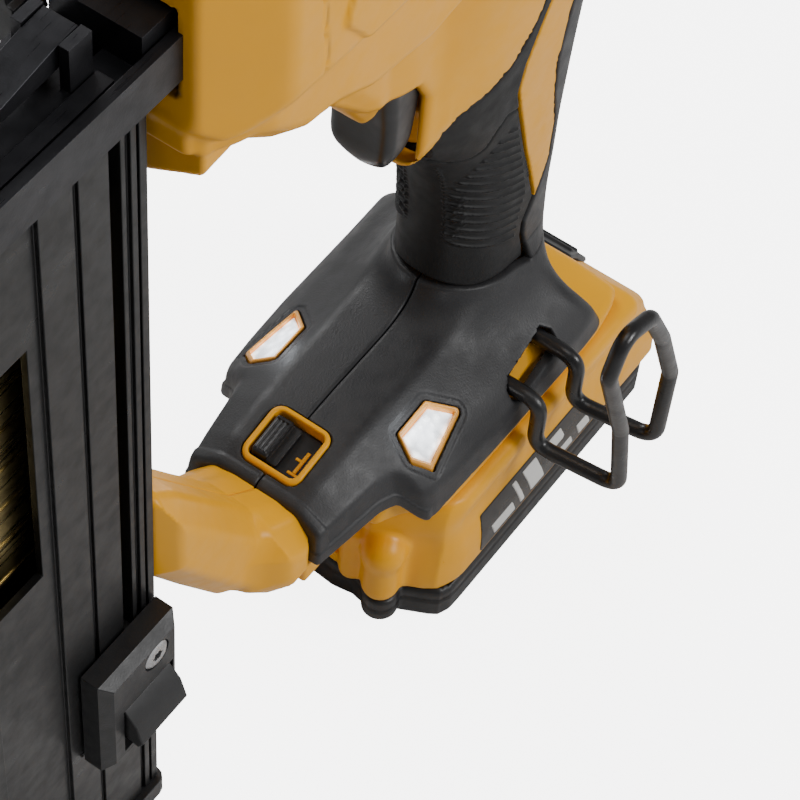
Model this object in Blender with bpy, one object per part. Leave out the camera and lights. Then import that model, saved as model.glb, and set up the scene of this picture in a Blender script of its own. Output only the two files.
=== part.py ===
# Cordless 18-gauge brad nailer, modelled as an assembly of separate pieces.
#
# Units: the numbers below are millimetres and are scaled to metres by MM when a mesh is made.
# Axes:  +Z runs up the handle, from the flat underside of the battery (Z = 0) to the head.
#        The nose points to -X and the nail leaves along -X. The tool's left side faces -Y.
#        X = 0 is the axis of the handle and Y = 0 is the tool's middle plane.
#
# Outlines are lists of two coordinates in X, Y, Z order: (X, Z) across Y, (X, Y) across Z
# and (Y, Z) across X. A "half" is a half-width, measured from the middle plane.

import math

import bmesh
import bpy
from mathutils import Vector

MM = 0.001
GAP = 0.3                      # clearance between neighbouring pieces
SEAM = GAP / 2                 # each clamshell half stops this far from the middle plane
SIDES = ((-1, "left"), (1, "right"))

# ---------------------------------------------------------------- driving dimensions
# battery pack
PACK_FRONT, PACK_REAR = -60.0, 52.0
PACK_HALF = 37.0
PACK_SPLIT = 13.0              # seam between black base tray and yellow upper shell
PACK_TOP = 50.0
CELL_R = 9.0
CELL_LEN = 64.6
CELL_PITCH = 19.5
# foot
SKIRT_HALF = 33.6
COVER_WALL = 2.4
# handle
GRIP_REAR = 21.0
GRIP_HALF = 15.8
GRIP_INNER_HALF = 13.1
GRIP_Z = (83.6, 205.0)         # bottom and top of the grip and the back strap
CORE_FRONT, CORE_REAR = -16.4, 17.0
CORE_HALF = 12.6
# head and drive line
DRIVE_Z = 282.0                # axis of the nail channel
HEAD_HALF = 27.0
BULGE_HALF = 22.0
HEAD_FRONT, HEAD_REAR = -134.0, 34.0
HEAD_TOP = 311.0
WALL = 3.0
# magazine
MAG_FRONT, MAG_REAR = -199.0, -138.3
MAG_HALF = 8.6
MAG_BOTTOM, MAG_TOP = 12.0, 271.6
NAIL_PITCH = 12.8              # pitch of the raised bands on the nail strip
# drive unit
FLYWHEEL_R = 20.0
FLYWHEEL = (-72.0, 257.6)      # axle, (X, Z)
RAIL_Y = 11.5
RAIL_R = 2.0
PINCH_PIVOT = (-44.0, 293.0)   # (X, Z)
ROLLER = (-72.0, 293.2)        # (X, Z)
SOLENOID = (0, 298.6)          # axis, (Y, Z)
# pivots, (X, Z), and the radii of their pins
TRIGGER_PIVOT, TRIGGER_PIN_R = (-34.0, 209.0), 1.83
STALL_PIVOT, STALL_PIN_R = (-41.0, 312.6), 1.24
DOOR_HINGE, DOOR_PIN_R = (-188.5, 289.6), 1.53
LATCH_PIVOT, LATCH_PIN_R = (-153.8, 295.4), 1.62
PIN_PLAY = 0.08                # radial play of the trigger, door and latch pins
# pivot of the pusher's thumb lever, (Y, Z), and the pusher's screw, (X, Z)
THUMB_PIVOT = (-14.6, 77.6)
PUSHER_SCREW = (-147.6, 91.4)
# legs of the belt hook, (X, Z), and the plane of its loop
HOOK_FRONT, HOOK_REAR = (-18.0, 66.8), (-1.8, 68.6)
HOOK_LOOP_Y = -64.0

# ---------------------------------------------------------------- clean scene
for old in list(bpy.data.objects):
    bpy.data.objects.remove(old, do_unlink=True)

cutters = bpy.data.collections.new("construction")
bpy.context.scene.collection.children.link(cutters)


# ---------------------------------------------------------------- materials
def material(name, colour, roughness, metallic=0.0, emission=0.0):
    mat = bpy.data.materials.new(name)
    mat.use_nodes = True
    inputs = mat.node_tree.nodes["Principled BSDF"].inputs
    inputs["Base Color"].default_value = (*colour, 1.0)
    inputs["Roughness"].default_value = roughness
    inputs["Metallic"].default_value = metallic
    if emission:
        inputs["Emission Color"].default_value = (*colour, 1.0)
        inputs["Emission Strength"].default_value = emission
    mat.diffuse_color = (*colour, 1.0)
    return mat


YELLOW = material("yellow_shell", colour=(0.86, 0.55, 0.03), roughness=0.38)
GREY = material("charcoal_shell", colour=(0.060, 0.062, 0.066), roughness=0.52)
BLACK = material("black_plastic", colour=(0.018, 0.018, 0.019), roughness=0.45)
RUBBER = material("black_rubber", colour=(0.020, 0.020, 0.021), roughness=0.78)
STEEL = material("steel", colour=(0.55, 0.56, 0.57), roughness=0.33, metallic=1.0)
DARK_STEEL = material("black_oxide_steel", colour=(0.05, 0.05, 0.055), roughness=0.42,
                      metallic=0.9)
ALU = material("aluminium", colour=(0.62, 0.63, 0.65), roughness=0.40, metallic=1.0)
MAG_BLACK = material("anodised_black", colour=(0.030, 0.030, 0.033), roughness=0.40,
                     metallic=0.6)
COPPER = material("copper_winding", colour=(0.55, 0.22, 0.09), roughness=0.42, metallic=0.9)
BOARD = material("circuit_board", colour=(0.02, 0.16, 0.06), roughness=0.50)
CELL = material("cell_sleeve", colour=(0.05, 0.20, 0.42), roughness=0.40)
LENS = material("led_lens", colour=(0.95, 0.93, 0.84), roughness=0.15, emission=2.0)
AMBER = material("amber_bezel", colour=(0.86, 0.60, 0.28), roughness=0.40)
BRASS = material("brass_wire", colour=(0.58, 0.44, 0.18), roughness=0.35, metallic=1.0)
SPRING = material("spring_steel", colour=(0.42, 0.43, 0.45), roughness=0.30, metallic=1.0)


# ---------------------------------------------------------------- points and outlines
def place(axis, point, along):
    """3D point from an outline point and a position along the axis across the outline."""
    first, second = point
    if axis == "X":
        return (along, first, second)
    if axis == "Y":
        return (first, along, second)
    return (first, second, along)


def at_y(point, y=0):
    """3D point from an (X, Z) pair."""
    return place("Y", point, y)


def inset(points, depth):
    """The polygon moved inwards by depth, with mitred corners. Works for either winding."""
    following = points[1:] + points[:1]
    area = sum(a[0] * b[1] - b[0] * a[1] for a, b in zip(points, following))
    turn = 1.0 if area > 0 else -1.0
    out = []
    for i, point in enumerate(points):
        corner = Vector(point)
        edge_in = (corner - Vector(points[i - 1])).normalized()
        edge_out = (Vector(following[i]) - corner).normalized()
        normal_in = Vector((-edge_in.y, edge_in.x)) * turn
        normal_out = Vector((-edge_out.y, edge_out.x)) * turn
        mitre = normal_in + normal_out
        # the lower limit keeps sharp corners from shooting far inwards
        mitre = mitre / max(mitre.length_squared / 2.0, 0.35)
        out.append((corner.x + mitre.x * depth, corner.y + mitre.y * depth))
    return out


def rect(x0, x1, y0, y1):
    return [(x0, y0), (x1, y0), (x1, y1), (x0, y1)]


def rounded(x0, x1, y0, y1, radius, steps):
    """Rounded rectangle, anticlockwise from its far right corner."""
    corners = ((x1 - radius, y1 - radius, 0), (x0 + radius, y1 - radius, 90),
               (x0 + radius, y0 + radius, 180), (x1 - radius, y0 + radius, 270))
    out = []
    for x, y, start in corners:
        for i in range(steps + 1):
            angle = math.radians(start + 90.0 * i / steps)
            out.append((x + radius * math.cos(angle), y + radius * math.sin(angle)))
    return out


def star(centre, even_r, odd_r, count):
    """Points around a centre whose radius alternates between two values."""
    out = []
    for i in range(count):
        angle = 2 * math.pi * i / count
        radius = odd_r if i % 2 else even_r
        out.append((centre[0] + radius * math.cos(angle), centre[1] + radius * math.sin(angle)))
    return out


def circle(centre, radius, count):
    return star(centre, radius, radius, count)


def to_side(points, side):
    """Points given as (X, |Y|), put on one side of the tool."""
    return [(x, side * y) for x, y in points]


def mirrored(points):
    """The points reflected in the second coordinate, in reverse order."""
    return [(x, -y) for x, y in reversed(points)]


def c_section(outer, inner):
    """Closed C outline, symmetric about the middle plane, from its +Y half."""
    return outer + mirrored(outer) + mirrored(inner) + inner


# ---------------------------------------------------------------- solids
def loft(rings):
    """Closed solid through rings of equal point count, capped at both ends."""
    count = len(rings[0])
    verts = [point for ring in rings for point in ring]
    last = (len(rings) - 1) * count
    faces = []
    for k in range(0, last, count):
        for i in range(count):
            j = (i + 1) % count
            faces.append((k + i, k + j, k + count + j, k + count + i))
    faces.append(tuple(range(count - 1, -1, -1)))
    faces.append(tuple(last + i for i in range(count)))
    return verts, faces


def stack(axis, layers):
    """Loft through flat layers, each an (outline, position along the axis)."""
    return loft([[place(axis, point, along) for point in points] for points, along in layers])


def prism(axis, points, start, end):
    return stack(axis, [(points, start), (points, end)])


def slab(axis, points, start, end, bevel, both=False):
    """Prism whose far edge (and near edge, if both) is bevelled."""
    step = bevel if end > start else -bevel
    small = inset(points, bevel)
    near = [(small, start), (points, start + step)] if both else [(points, start)]
    return stack(axis, near + [(points, end - step), (small, end)])


def plate(points, half, bevel=None):
    """(X, Z) outline given a width centred on the middle plane."""
    if bevel is None:
        return prism("Y", points, -half, half)
    return slab("Y", points, -half, half, bevel, both=True)


def box(x0, x1, y0, y1, z0, z1):
    return prism("Z", rect(x0, x1, y0, y1), z0, z1)


def mid_box(x0, x1, half, z0, z1):
    """Box centred on the middle plane."""
    return box(x0, x1, -half, half, z0, z1)


def twin_boxes(x0, x1, inner, outer, z0, z1):
    """Left and right boxes between two distances from the middle plane."""
    return [box(x0, x1, -outer, -inner, z0, z1), box(x0, x1, inner, outer, z0, z1)]


def rod(axis, centre, radius, start, end, count=24):
    return prism(axis, circle(centre, radius, count), start, end)


def turned(axis, centre, profile, count):
    """Solid of revolution: profile is (radius, position along the axis)."""
    return stack(axis, [(circle(centre, radius, count), along) for radius, along in profile])


def tube(axis, centre, inner_r, outer_r, start, end, count):
    """Tube with a through bore."""
    verts, faces = [], []
    for radius, along in ((outer_r, start), (outer_r, end), (inner_r, end), (inner_r, start)):
        verts += [place(axis, point, along) for point in circle(centre, radius, count)]
    for k in range(4):
        here, there = k * count, ((k + 1) % 4) * count
        for i in range(count):
            j = (i + 1) % count
            faces.append((here + i, here + j, there + j, there + i))
    return verts, faces


def sweep(path, radius, count):
    """Round wire along a list of points, with flat ends, twist-free."""
    points = [Vector(point) for point in path]
    rings = []
    across = None
    for i, point in enumerate(points):
        before = points[max(i - 1, 0)]
        after = points[min(i + 1, len(points) - 1)]
        tangent = (after - before).normalized()
        if across is None:
            across = tangent.orthogonal().normalized()
        across = (across - tangent * across.dot(tangent)).normalized()
        normal = tangent.cross(across)
        ring = []
        for x, y in circle((0, 0), radius, count):
            ring.append(tuple(point + across * x + normal * y))
        rings.append(ring)
    return loft(rings)


def fillet(path, radius, steps):
    """Polyline with its corners rounded to the radius, where the edges are long enough."""
    points = [Vector(point) for point in path]
    out = [points[0]]
    for before, corner, after in zip(points, points[1:], points[2:]):
        back, ahead = before - corner, after - corner
        half_angle = back.angle(ahead) / 2.0
        trim = min(radius / math.tan(half_angle), back.length * 0.48, ahead.length * 0.48)
        start = corner + back.normalized() * trim
        end = corner + ahead.normalized() * trim
        for i in range(steps + 1):
            t = i / steps
            out.append(start * (1 - t) ** 2 + corner * 2 * t * (1 - t) + end * t * t)
    out.append(points[-1])
    return [tuple(point) for point in out]


def helix(axis, centre, radius, wire, start, end, turns):
    """Coil of square-sectioned wire, eight segments to a turn; wire is its radius."""
    path = []
    steps = turns * 8
    for i in range(steps + 1):
        angle = 2 * math.pi * i / 8
        along = start + wire + (end - start - 2 * wire) * i / steps
        point = (centre[0] + radius * math.cos(angle), centre[1] + radius * math.sin(angle))
        path.append(place(axis, point, along))
    return sweep(path, wire, 4)


# ---------------------------------------------------------------- pieces
def to_mesh(name, solid, origin):
    verts, faces = solid
    mesh = bpy.data.meshes.new(name)
    local = [[(value - base) * MM for value, base in zip(vert, origin)] for vert in verts]
    mesh.from_pydata(local, [], faces)
    edit = bmesh.new()
    edit.from_mesh(mesh)
    bmesh.ops.recalc_face_normals(edit, faces=edit.faces)
    if edit.calc_volume(signed=True) < 0:
        bmesh.ops.reverse_faces(edit, faces=edit.faces)
    edit.to_mesh(mesh)
    edit.free()
    return mesh


def make(name, base, mat, add=(), cut=(), pins=(), origin=(0, 0, 0), smooth=False):
    """One named piece: base, plus add, minus cut, plus the pins that cross a cut."""
    mesh = to_mesh(name, base, origin)
    obj = bpy.data.objects.new(name, mesh)
    obj.location = [value * MM for value in origin]
    bpy.context.scene.collection.objects.link(obj)
    mesh.materials.append(mat)
    steps = (("add", "UNION", add), ("cut", "DIFFERENCE", cut), ("pin", "UNION", pins))
    for kind, operation, solids in steps:
        for i, solid in enumerate(solids):
            helper_name = f"{name}_{kind}_{i}"
            helper = bpy.data.objects.new(helper_name, to_mesh(helper_name, solid, origin))
            helper.location = obj.location
            cutters.objects.link(helper)
            helper.hide_render = True
            helper.display_type = "WIRE"
            mod = obj.modifiers.new(f"{kind}_{i}", "BOOLEAN")
            mod.operation = operation
            mod.solver = "EXACT"
            mod.object = helper
    if smooth:
        mesh.shade_smooth()
        mesh.set_sharp_from_angle(angle=math.radians(35))


# ================================================================ yellow clamshell
# Side profiles, as (X, Z).
HEAD = [(HEAD_FRONT, 306), (HEAD_FRONT, 262), (-129, 257.5), (-60, 252), (HEAD_REAR, 256),
        (HEAD_REAR, 308), (31, HEAD_TOP), (-129, HEAD_TOP)]
MOTOR_BULGE = [(-134, 264), (-134, 254), (-122, 251.5), (-114, 244.5), (-107, 240), (-97, 238),
               (-84, 231.5), (-62, 228), (-40, 231), (-14, 244), (8, 262)]
HANDLE = rect(CORE_FRONT, CORE_REAR, 68, 170)
COLLAR = [(CORE_FRONT, 158.4), (-40.6, 158.4), (-42, 166), (-42, 186), (-46, 193.5),
          (-53, 195.5), (-64, 200), (-75, 211), (-84, 226), (-84, 238), (28, 258),
          (26, 226), (19, 196), (CORE_REAR, 158.4)]
# wall in front of the trigger's upper end
BELLY = [(-78, 214), (-66, 197.5), (-60, 189), (-54.2, 184), (-54.2, 228), (-78, 228)]
ARM = [(-83.6, 56), (-98, 52), (-113, 64), (-127, 86), (-138.0, 104), (-138.0, 137),
       (-128, 127), (-113, 105), (-99, 85), (-88.6, 74.3), (-88.6, 66.0), (-83.6, 65.6)]
NECK = [(-60, 51.6), (-91, 53.0), (-91, 60.0), (-60, 60.0)]
SKIRT = [(-66, 51.0), (-66, 60.4), (-57, 57.4), (-30, 55.8), (22, 54.6), (32, 54.4), (37, 51.0)]
CORE_BLOCK = [(-84.6, 55), (-84.6, 66.6), (-82, 67.6), (-66, 72.4), (16.5, 75.0), (18.0, 55)]
ARM_ROOT = [(-88.6, 53.4), (-100, 53.0), (-106, 62), (-105, 74), (-98.5, 80), (-88.6, 71.5)]
STALL_EAR = [(-46, 309), (-43.5, 314.2), (-38.5, 314.2), (-36, 309)]
# cavities and openings, as (X, Z)
HANDLE_HOLLOW = [(-13.4, 64), (-13.4, 204), (-30, 222), (-30, 240), (22, 254), (22, 226),
                 (15.5, 196), (14.0, 150), (14.0, 64)]
FOOT_HOLLOW = [(-82, 58), (-82, 64.8), (-66, 69.4), (13.6, 72), (13.6, 58)]
ARM_HOLLOW = [(-90, 58), (-100, 56.5), (-111, 67), (-123, 86), (-133.5, 105), (-133.5, 122),
              (-124, 111), (-112, 94), (-99, 78), (-90, 66)]
TRIGGER_BAY = [(-54.2, 160.3), (-35.4, 160.3), (-35.4, 186), (-26.0, 196), (-26.0, 217.5),
               (-54.2, 220.5)]
# front corner cut off the skirt, as (X, |Y|)
SKIRT_CORNER = [(-68, 22.6), (-60.5, 22.9), (-55.6, 27.6), (-53.2, 36.0), (-68, 36.0)]
# section of the belt hook's boss, as (Y, Z)
HOOK_BOSS = [(-12.0, 55.2), (-29.3, 55.2), (-29.3, 63.2), (-26.0, 66.9), (-19.8, 71.3),
             (-12.0, 73.0)]


def housing(side, tag):
    """One half: head, handle core, foot skirt and the arm that carries the magazine."""

    def shell(points, half, bevel):
        return slab("Y", points, side * SEAM, side * half, bevel)

    def cavity(points, half):
        # starts just past the middle plane
        return prism("Y", points, -side, side * half)

    add = [
        shell(MOTOR_BULGE, BULGE_HALF, 3.0),
        shell(HANDLE, CORE_HALF, 5.0),
        shell(COLLAR, CORE_HALF, 3.0),
        shell(BELLY, 10.0, 2.4),
        shell(CORE_BLOCK, 13.6, 1.0),
        shell(SKIRT, SKIRT_HALF, 1.2),
        shell(NECK, 18.6, 1.0),
        shell(ARM_ROOT, 18.6, 2.0),
        shell(ARM, 12.6, 1.6),
        box(-44, 10, side * SEAM, side * 26.0, 52, 56.5),
    ]
    cut = [
        cavity(inset(HEAD, WALL), HEAD_HALF - WALL),
        cavity(inset(MOTOR_BULGE, WALL), BULGE_HALF - WALL),
        cavity(HANDLE_HOLLOW, CORE_HALF - 2.6),
        cavity(FOOT_HOLLOW, 10.6),
        # windows in the front and rear of the head
        mid_box(-140, -129, 17.0, 269.5, 293.5),
        mid_box(30, 36, 22, 272, 298),
        # slot in the front of the handle for the trigger's foot and the switch
        mid_box(-44, -10, 5.0, 178.6, 216.0),
        # the trigger's head hangs between two cheeks
        plate(TRIGGER_BAY, 9.3),
        prism("Z", to_side(SKIRT_CORNER, side), 48, 62),
        # opening for the terminal block under the foot
        mid_box(-28, 8, 11.0, 48, 60),
        cavity(ARM_HOLLOW, 9.5),
        # lock-off window through both walls above the trigger
        mid_box(-15.5, -6.5, 30, 214.0, 222.0),
        # stall lever slot in the roof of the head
        mid_box(-66, -34, 6.0, 306, 315),
    ]
    pins = []
    if side < 0:
        # the left half carries the belt hook and the trigger and stall lever pins
        add.append(prism("X", HOOK_BOSS, -22.4, 2.6))
        cut += [rod("Y", leg, 2.5, -34, -14.6, 16) for leg in (HOOK_FRONT, HOOK_REAR)]
        pins = [rod("Y", TRIGGER_PIVOT, TRIGGER_PIN_R, -10.5, 9.1, 16),
                rod("Y", STALL_PIVOT, STALL_PIN_R, -7.5, 5.9, 16)]
    # low ear beside the stall lever
    add.append(prism("Y", STALL_EAR, side * 6.2, side * 9.0))
    make(f"housing_{tag}", shell(HEAD, HEAD_HALF, 5.0), YELLOW, add=add, cut=cut, pins=pins)


# ================================================================ charcoal foot cover
# Half-sections, front to back: X, then flat top, chamfer, shoulder and lower edge as (|Y|, Z).
COVER = [
    (-88.0, (12.6, 74.6), (19.6, 71.0), (20.4, 67.0), (20.6, 60.5)),
    (-80.0, (13.0, 77.6), (20.8, 72.2), (21.8, 67.5), (22.0, 61.2)),
    (-68.0, (13.5, 79.6), (22.3, 73.4), (23.6, 68.0), (24.0, 62.2)),
    (-61.5, (13.5, 80.2), (23.8, 73.0), (27.0, 67.5), (28.0, 61.5)),
    (-55.5, (13.5, 80.5), (27.0, 71.0), (32.0, 65.0), (33.4, 58.6)),
    (-30.0, (14.0, 80.8), (29.0, 70.2), (34.0, 64.0), (35.0, 56.6)),
    (0.0, (14.5, 81.4), (29.5, 70.2), (34.0, 64.0), (35.0, 55.8)),
    (13.0, (14.5, 82.0), (27.5, 72.0), (32.5, 65.0), (34.4, 55.6)),
    (22.0, (11.0, 81.0), (20.0, 75.0), (26.0, 67.0), (31.0, 55.4)),
]
# the hollow's end sections stand inside the outer ones
COVER_HOLLOW = [(-85.0, *COVER[0][1:]), *COVER[1:-1], (19.4, *COVER[-1][1:])]
# light window on the side chamfer, as (X, |Y|)
LIGHT_WINDOW = [(-52.9, 16.6), (-39.2, 17.6), (-36.6, 29.0), (-56.0, 27.4)]
# slot that both legs of the belt hook come out of, as (X, Z)
HOOK_SLOT = [(-18.6, 63.9), (-1.4, 65.7), (1.0, 67.4), (1.1, 69.9), (-0.9, 71.6),
             (-18.2, 69.7), (-20.8, 68.0), (-20.9, 65.5)]


def cover_solid(rows, side, inner_y, wall=0.0, drop=0.0):
    """Loft through half-sections drawn in by wall, the lower edge let down by drop."""
    rings = []
    for x, *section in rows:
        points = [(y - wall, z - wall * 1.05) for y, z in section]
        points[-1] = (points[-1][0], points[-1][1] - drop)
        points = [(inner_y, points[0][1]), *points, (inner_y, points[-1][1])]
        rings.append([(x, side * y, z) for y, z in points])
    return loft(rings)


def foot_cover(side, tag):
    cut = [
        cover_solid(COVER_HOLLOW, side, -2.0, wall=COVER_WALL, drop=6.0),
        # passage for the handle
        prism("Z", rounded(-21.0, 22.2, -16.9, 16.9, 9.0, 3), 70, 90),
        # window of the mode selector
        prism("Z", rounded(-84.0, -65.0, -8.8, 8.8, 3.6, 2), 70, 90),
        prism("Z", to_side(LIGHT_WINDOW, side), 63.0, 90),
        # passage for the root of the arm at the front
        mid_box(-90.0, -84.0, 13.2, 50.0, 67.6),
    ]
    if side < 0:
        cut.append(prism("Y", HOOK_SLOT, -40, -20.0))
    make(f"foot_cover_{tag}", cover_solid(COVER, side, SEAM), GREY, cut=cut)


for side, tag in SIDES:
    housing(side, tag)
    foot_cover(side, tag)

# ================================================================ handle covers and rear cap
# ---- rubber grip: a C-section around the front and sides of the handle
GRIP_NOSE = 20.3               # reach of the grip's front, forward of the handle axis
GRIP_POWER = 0.83              # below 1 the curve is squarer than an ellipse
grip_outer = [(11.0, GRIP_HALF), (0.0, GRIP_HALF)]
for degrees in (15, 30, 45, 60, 75, 89.9):
    angle = math.radians(degrees)
    grip_outer.append((-GRIP_NOSE * math.sin(angle) ** GRIP_POWER,
                       GRIP_HALF * math.cos(angle) ** GRIP_POWER))
grip_inner = [(-16.9, 7.4), (-11.2, GRIP_INNER_HALF), (11.0, GRIP_INNER_HALF)]
# side profile of the web under the trigger, as (X, Z)
GRIP_WEB = [(-19.6, 112), (-20.6, 120), (-23.5, 132), (-28.5, 142), (-36.5, 151),
            (-40.4, 156), (-40.4, 158.1), (-17.0, 158.1), (-17.0, 112)]
# the front ends below the trigger and the sides rise towards the head behind it
GRIP_TRIM = [(-46, 158.12), (-12, 158.12), (-7, 166), (2, 206.5), (-46, 206.5)]
make(
    "handle_grip",
    prism("Z", c_section(grip_outer, grip_inner), *GRIP_Z),
    RUBBER,
    add=[plate(GRIP_WEB, 12.9, bevel=1.0)],
    cut=[plate(GRIP_TRIM, 20)],
    smooth=True,
)

# ---- charcoal strap along the back of the handle
STRAP_R = 8.5
strap_outer = [(11.4, GRIP_HALF)]
for degrees in (15, 37.5, 60, 90):
    angle = math.radians(degrees)
    strap_outer.append((GRIP_REAR - STRAP_R + STRAP_R * math.sin(angle),
                        (GRIP_HALF - STRAP_R) + STRAP_R * math.cos(angle)))
strap_inner = [(17.6, GRIP_INNER_HALF), (11.4, GRIP_INNER_HALF)]
# relief inside the strap's upper end, as (X, Z)
STRAP_RELIEF = [(17.4, 150.0), (19.8, 197.0), (23.4, 210.0), (10, 210), (10, 150)]
make(
    "back_strap",
    prism("Z", c_section(strap_outer, strap_inner), *GRIP_Z),
    GREY,
    cut=[plate(STRAP_RELIEF, GRIP_INNER_HALF)],
    smooth=True,
)

# ---- rear cap of the head, with four level slots
CAP = rounded(-25.6, 25.6, 258.0, 309.4, 9.0, 4)
CAP_SLOT_PITCH = 7.0
make(
    "rear_cap",
    stack("X", [(CAP, HEAD_REAR + GAP), (CAP, 45.0), (inset(CAP, 3.5), 50.5),
                (inset(CAP, 7.0), 52.0)]),
    GREY,
    cut=[
        prism("X", inset(CAP, 3.0), 30.0, 44.0),
        *[mid_box(40, 60, 14, 271.0 + CAP_SLOT_PITCH * k, 274.0 + CAP_SLOT_PITCH * k)
          for k in range(4)],
    ],
)


# ================================================================ nose and contact
def nose_opening(x0, x1):
    """Cutter for the opening through the contact and its tip, on the drive line."""
    return mid_box(x0, x1, 3.4, DRIVE_Z - 4.0, DRIVE_Z + 4.0)


make(
    "nose_block",
    mid_box(-193.0, -112.2, 10.8, 272.0, 283.0),
    DARK_STEEL,
    add=[
        *twin_boxes(-193.0, -150.0, 7.0, 10.8, 282.0, 288.0),
        mid_box(-142.0, -112.2, 10.8, 282.0, 292.0),
        mid_box(-193.0, -187.0, 10.8, 272.0, 280.0),
        # hinge ears of the jam door
        *twin_boxes(-192.0, -185.0, 7.0, 10.8, 286.0, 292.4),
    ],
    cut=[
        # nail channel, and the slot up to it from the magazine
        mid_box(-200, -100, 1.5, 280.4, 283.6),
        mid_box(-194, -138.0, 1.1, 265.0, 281.0),
        rod("X", (0, DRIVE_Z), 2.2, -116.0, -110.0, 12),
    ],
    pins=[rod("Y", DOOR_HINGE, DOOR_PIN_R, -8.0, 8.0, 16)],
)
make(
    "jam_door",
    mid_box(-186.0, -150.4, 6.6, 283.5, 287.4),
    STEEL,
    add=[
        rod("Y", DOOR_HINGE, 3.1, -6.6, 6.6, 16),
        mid_box(-187.5, -182.0, 6.6, 286.9, 290.6),
        # ears that carry the latch lever
        *twin_boxes(-157.0, -150.6, 4.2, 6.6, 286.9, 298.6),
    ],
    cut=[rod("Y", DOOR_HINGE, DOOR_PIN_R + PIN_PLAY, -12, 12, 16)],
    pins=[rod("Y", LATCH_PIVOT, LATCH_PIN_R, -5.0, 5.0, 16)],
    origin=at_y(DOOR_HINGE),
    smooth=True,
)
JAM_LATCH = [(-151.0, 293.0), (-151.0, 298.4), (-158.0, 298.0), (-172.0, 295.4),
             (-180.0, 295.8), (-180.6, 294.4), (-172.0, 291.8), (-157.0, 292.2)]
make(
    "jam_latch",
    plate(JAM_LATCH, 3.9),
    MAG_BLACK,
    cut=[rod("Y", LATCH_PIVOT, LATCH_PIN_R + PIN_PLAY, -12, 12, 16)],
    origin=at_y(LATCH_PIVOT),
)
# front plate, with an arm running back along the left side of the nose
make(
    "contact_trip",
    mid_box(-206.0, -203.4, 11.6, 274.0, 290.0),
    STEEL,
    add=[box(-206.0, -119.0, -13.8, -11.3, 276.0, 288.0)],
    cut=[nose_opening(-210, -200)],
)
make(
    "no_mar_tip",
    slab("X", rect(-8.5, 8.5, 273.0, 291.0), -206.0 - GAP, -219.0, 2.4),
    AMBER,
    cut=[nose_opening(-222, -205)],
)
make("trip_spring", helix("X", (-14.7, DRIVE_Z), 2.4, 0.45, -118.6, -105.0, 6), SPRING,
     smooth=True)

# ---- ribbed wheel on the right of the nose, with a short shaft behind it
WHEEL = (21.6, DRIVE_Z)        # (Y, Z)
make(
    "depth_wheel",
    prism("X", star(WHEEL, 7.0, 7.6, 36), -147.0, -138.0),
    BLACK,
    add=[rod("X", WHEEL, 2.6, -138.5, -134.4, 12)],
    origin=place("X", WHEEL, -142.5),
)

# ================================================================ drive unit inside the head
FRAME_SIDE = [(-104.6, 266.5), (-92, 265.0), (-87, 248.0), (-57, 246.0), (-50, 263.0),
              (22, 263.0), (22, 294.0), (-104.6, 294.0)]
RAIL_AXES = [(-RAIL_Y, DRIVE_Z), (RAIL_Y, DRIVE_Z)]
make(
    "drive_frame",
    prism("Y", FRAME_SIDE, -18.2, -15.6),
    ALU,
    add=[
        prism("Y", FRAME_SIDE, 15.6, 18.2),
        # floor, front web and rear web
        mid_box(-50.0, 22.0, 17.0, 263.1, 266.5),
        mid_box(-104.5, -99.0, 17.0, 266.0, 293.9),
        mid_box(17.0, 21.9, 17.0, 265.0, 293.9),
    ],
    cut=[
        # opening in the front web, behind the bumper
        mid_box(-106, -98, 7.0, 276.6, 288.2),
        *[rod("X", rail, 2.3, -106, 19.5, 14) for rail in RAIL_AXES],
        rod("Y", FLYWHEEL, 7.3, -30, 30, 20),
        # holes for the pinch arm pivot
        rod("Y", PINCH_PIVOT, 1.8, -30, 30, 12),
    ],
)
CARRIAGE = [(-42, 278.4), (-36, 278.0), (4, 278.0), (6, 280.0), (6, 286.4), (-30, 286.8),
            (-42, 284.5)]
make(
    "driver",
    plate(CARRIAGE, 6.0),
    STEEL,
    add=[
        # blade, and the crosshead that rides on the rails
        mid_box(-136.6, -40.0, 1.1, 281.1, 282.9),
        mid_box(-16.0, -6.0, 14.9, 279.0, 285.0),
    ],
    cut=[
        *[rod("X", rail, 2.35, -18, -4, 14) for rail in RAIL_AXES],
        mid_box(-34, -2, 1.0, 285.4, 289.0),
    ],
)
make(
    "bumper",
    prism("X", rounded(-9.5, 9.5, 273.0, 291.0, 3.0, 3), -111.6, -104.9),
    RUBBER,
    cut=[mid_box(-114, -100, 2.4, 279.6, 284.4)],
    smooth=True,
)
for (side, tag), rail in zip(SIDES, RAIL_AXES):
    make(f"return_rail_{tag}", rod("X", rail, RAIL_R, -104.0, 19.2, 14), STEEL, smooth=True)
    make(f"return_spring_{tag}", helix("X", rail, 3.1, 0.5, -98.5, -16.5, 10), SPRING,
         smooth=True)
    make(f"flywheel_bearing_{tag}", tube("Y", FLYWHEEL, 3.3, 7.0, side * 15.7, side * 18.1, 20),
         STEEL, smooth=True)

# (radius, Y) from the left end of the axle to the right
FLYWHEEL_PROFILE = [(3.0, -18.4), (3.0, -7.5), (FLYWHEEL_R - 1.0, -7.5), (FLYWHEEL_R, -6.5),
                    (FLYWHEEL_R, 6.5), (FLYWHEEL_R - 1.0, 7.5), (3.0, 7.5), (3.0, 18.4)]
make(
    "flywheel",
    turned("Y", FLYWHEEL, FLYWHEEL_PROFILE, 32),
    STEEL,
    cut=[tube("Y", FLYWHEEL, 7.0, 15.0, -9.0, -5.5, 24)],
    origin=at_y(FLYWHEEL),
    smooth=True,
)
make("motor_stator", tube("Y", FLYWHEEL, 3.6, 14.5, 8.4, 15.2, 24), COPPER, smooth=True)

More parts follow.
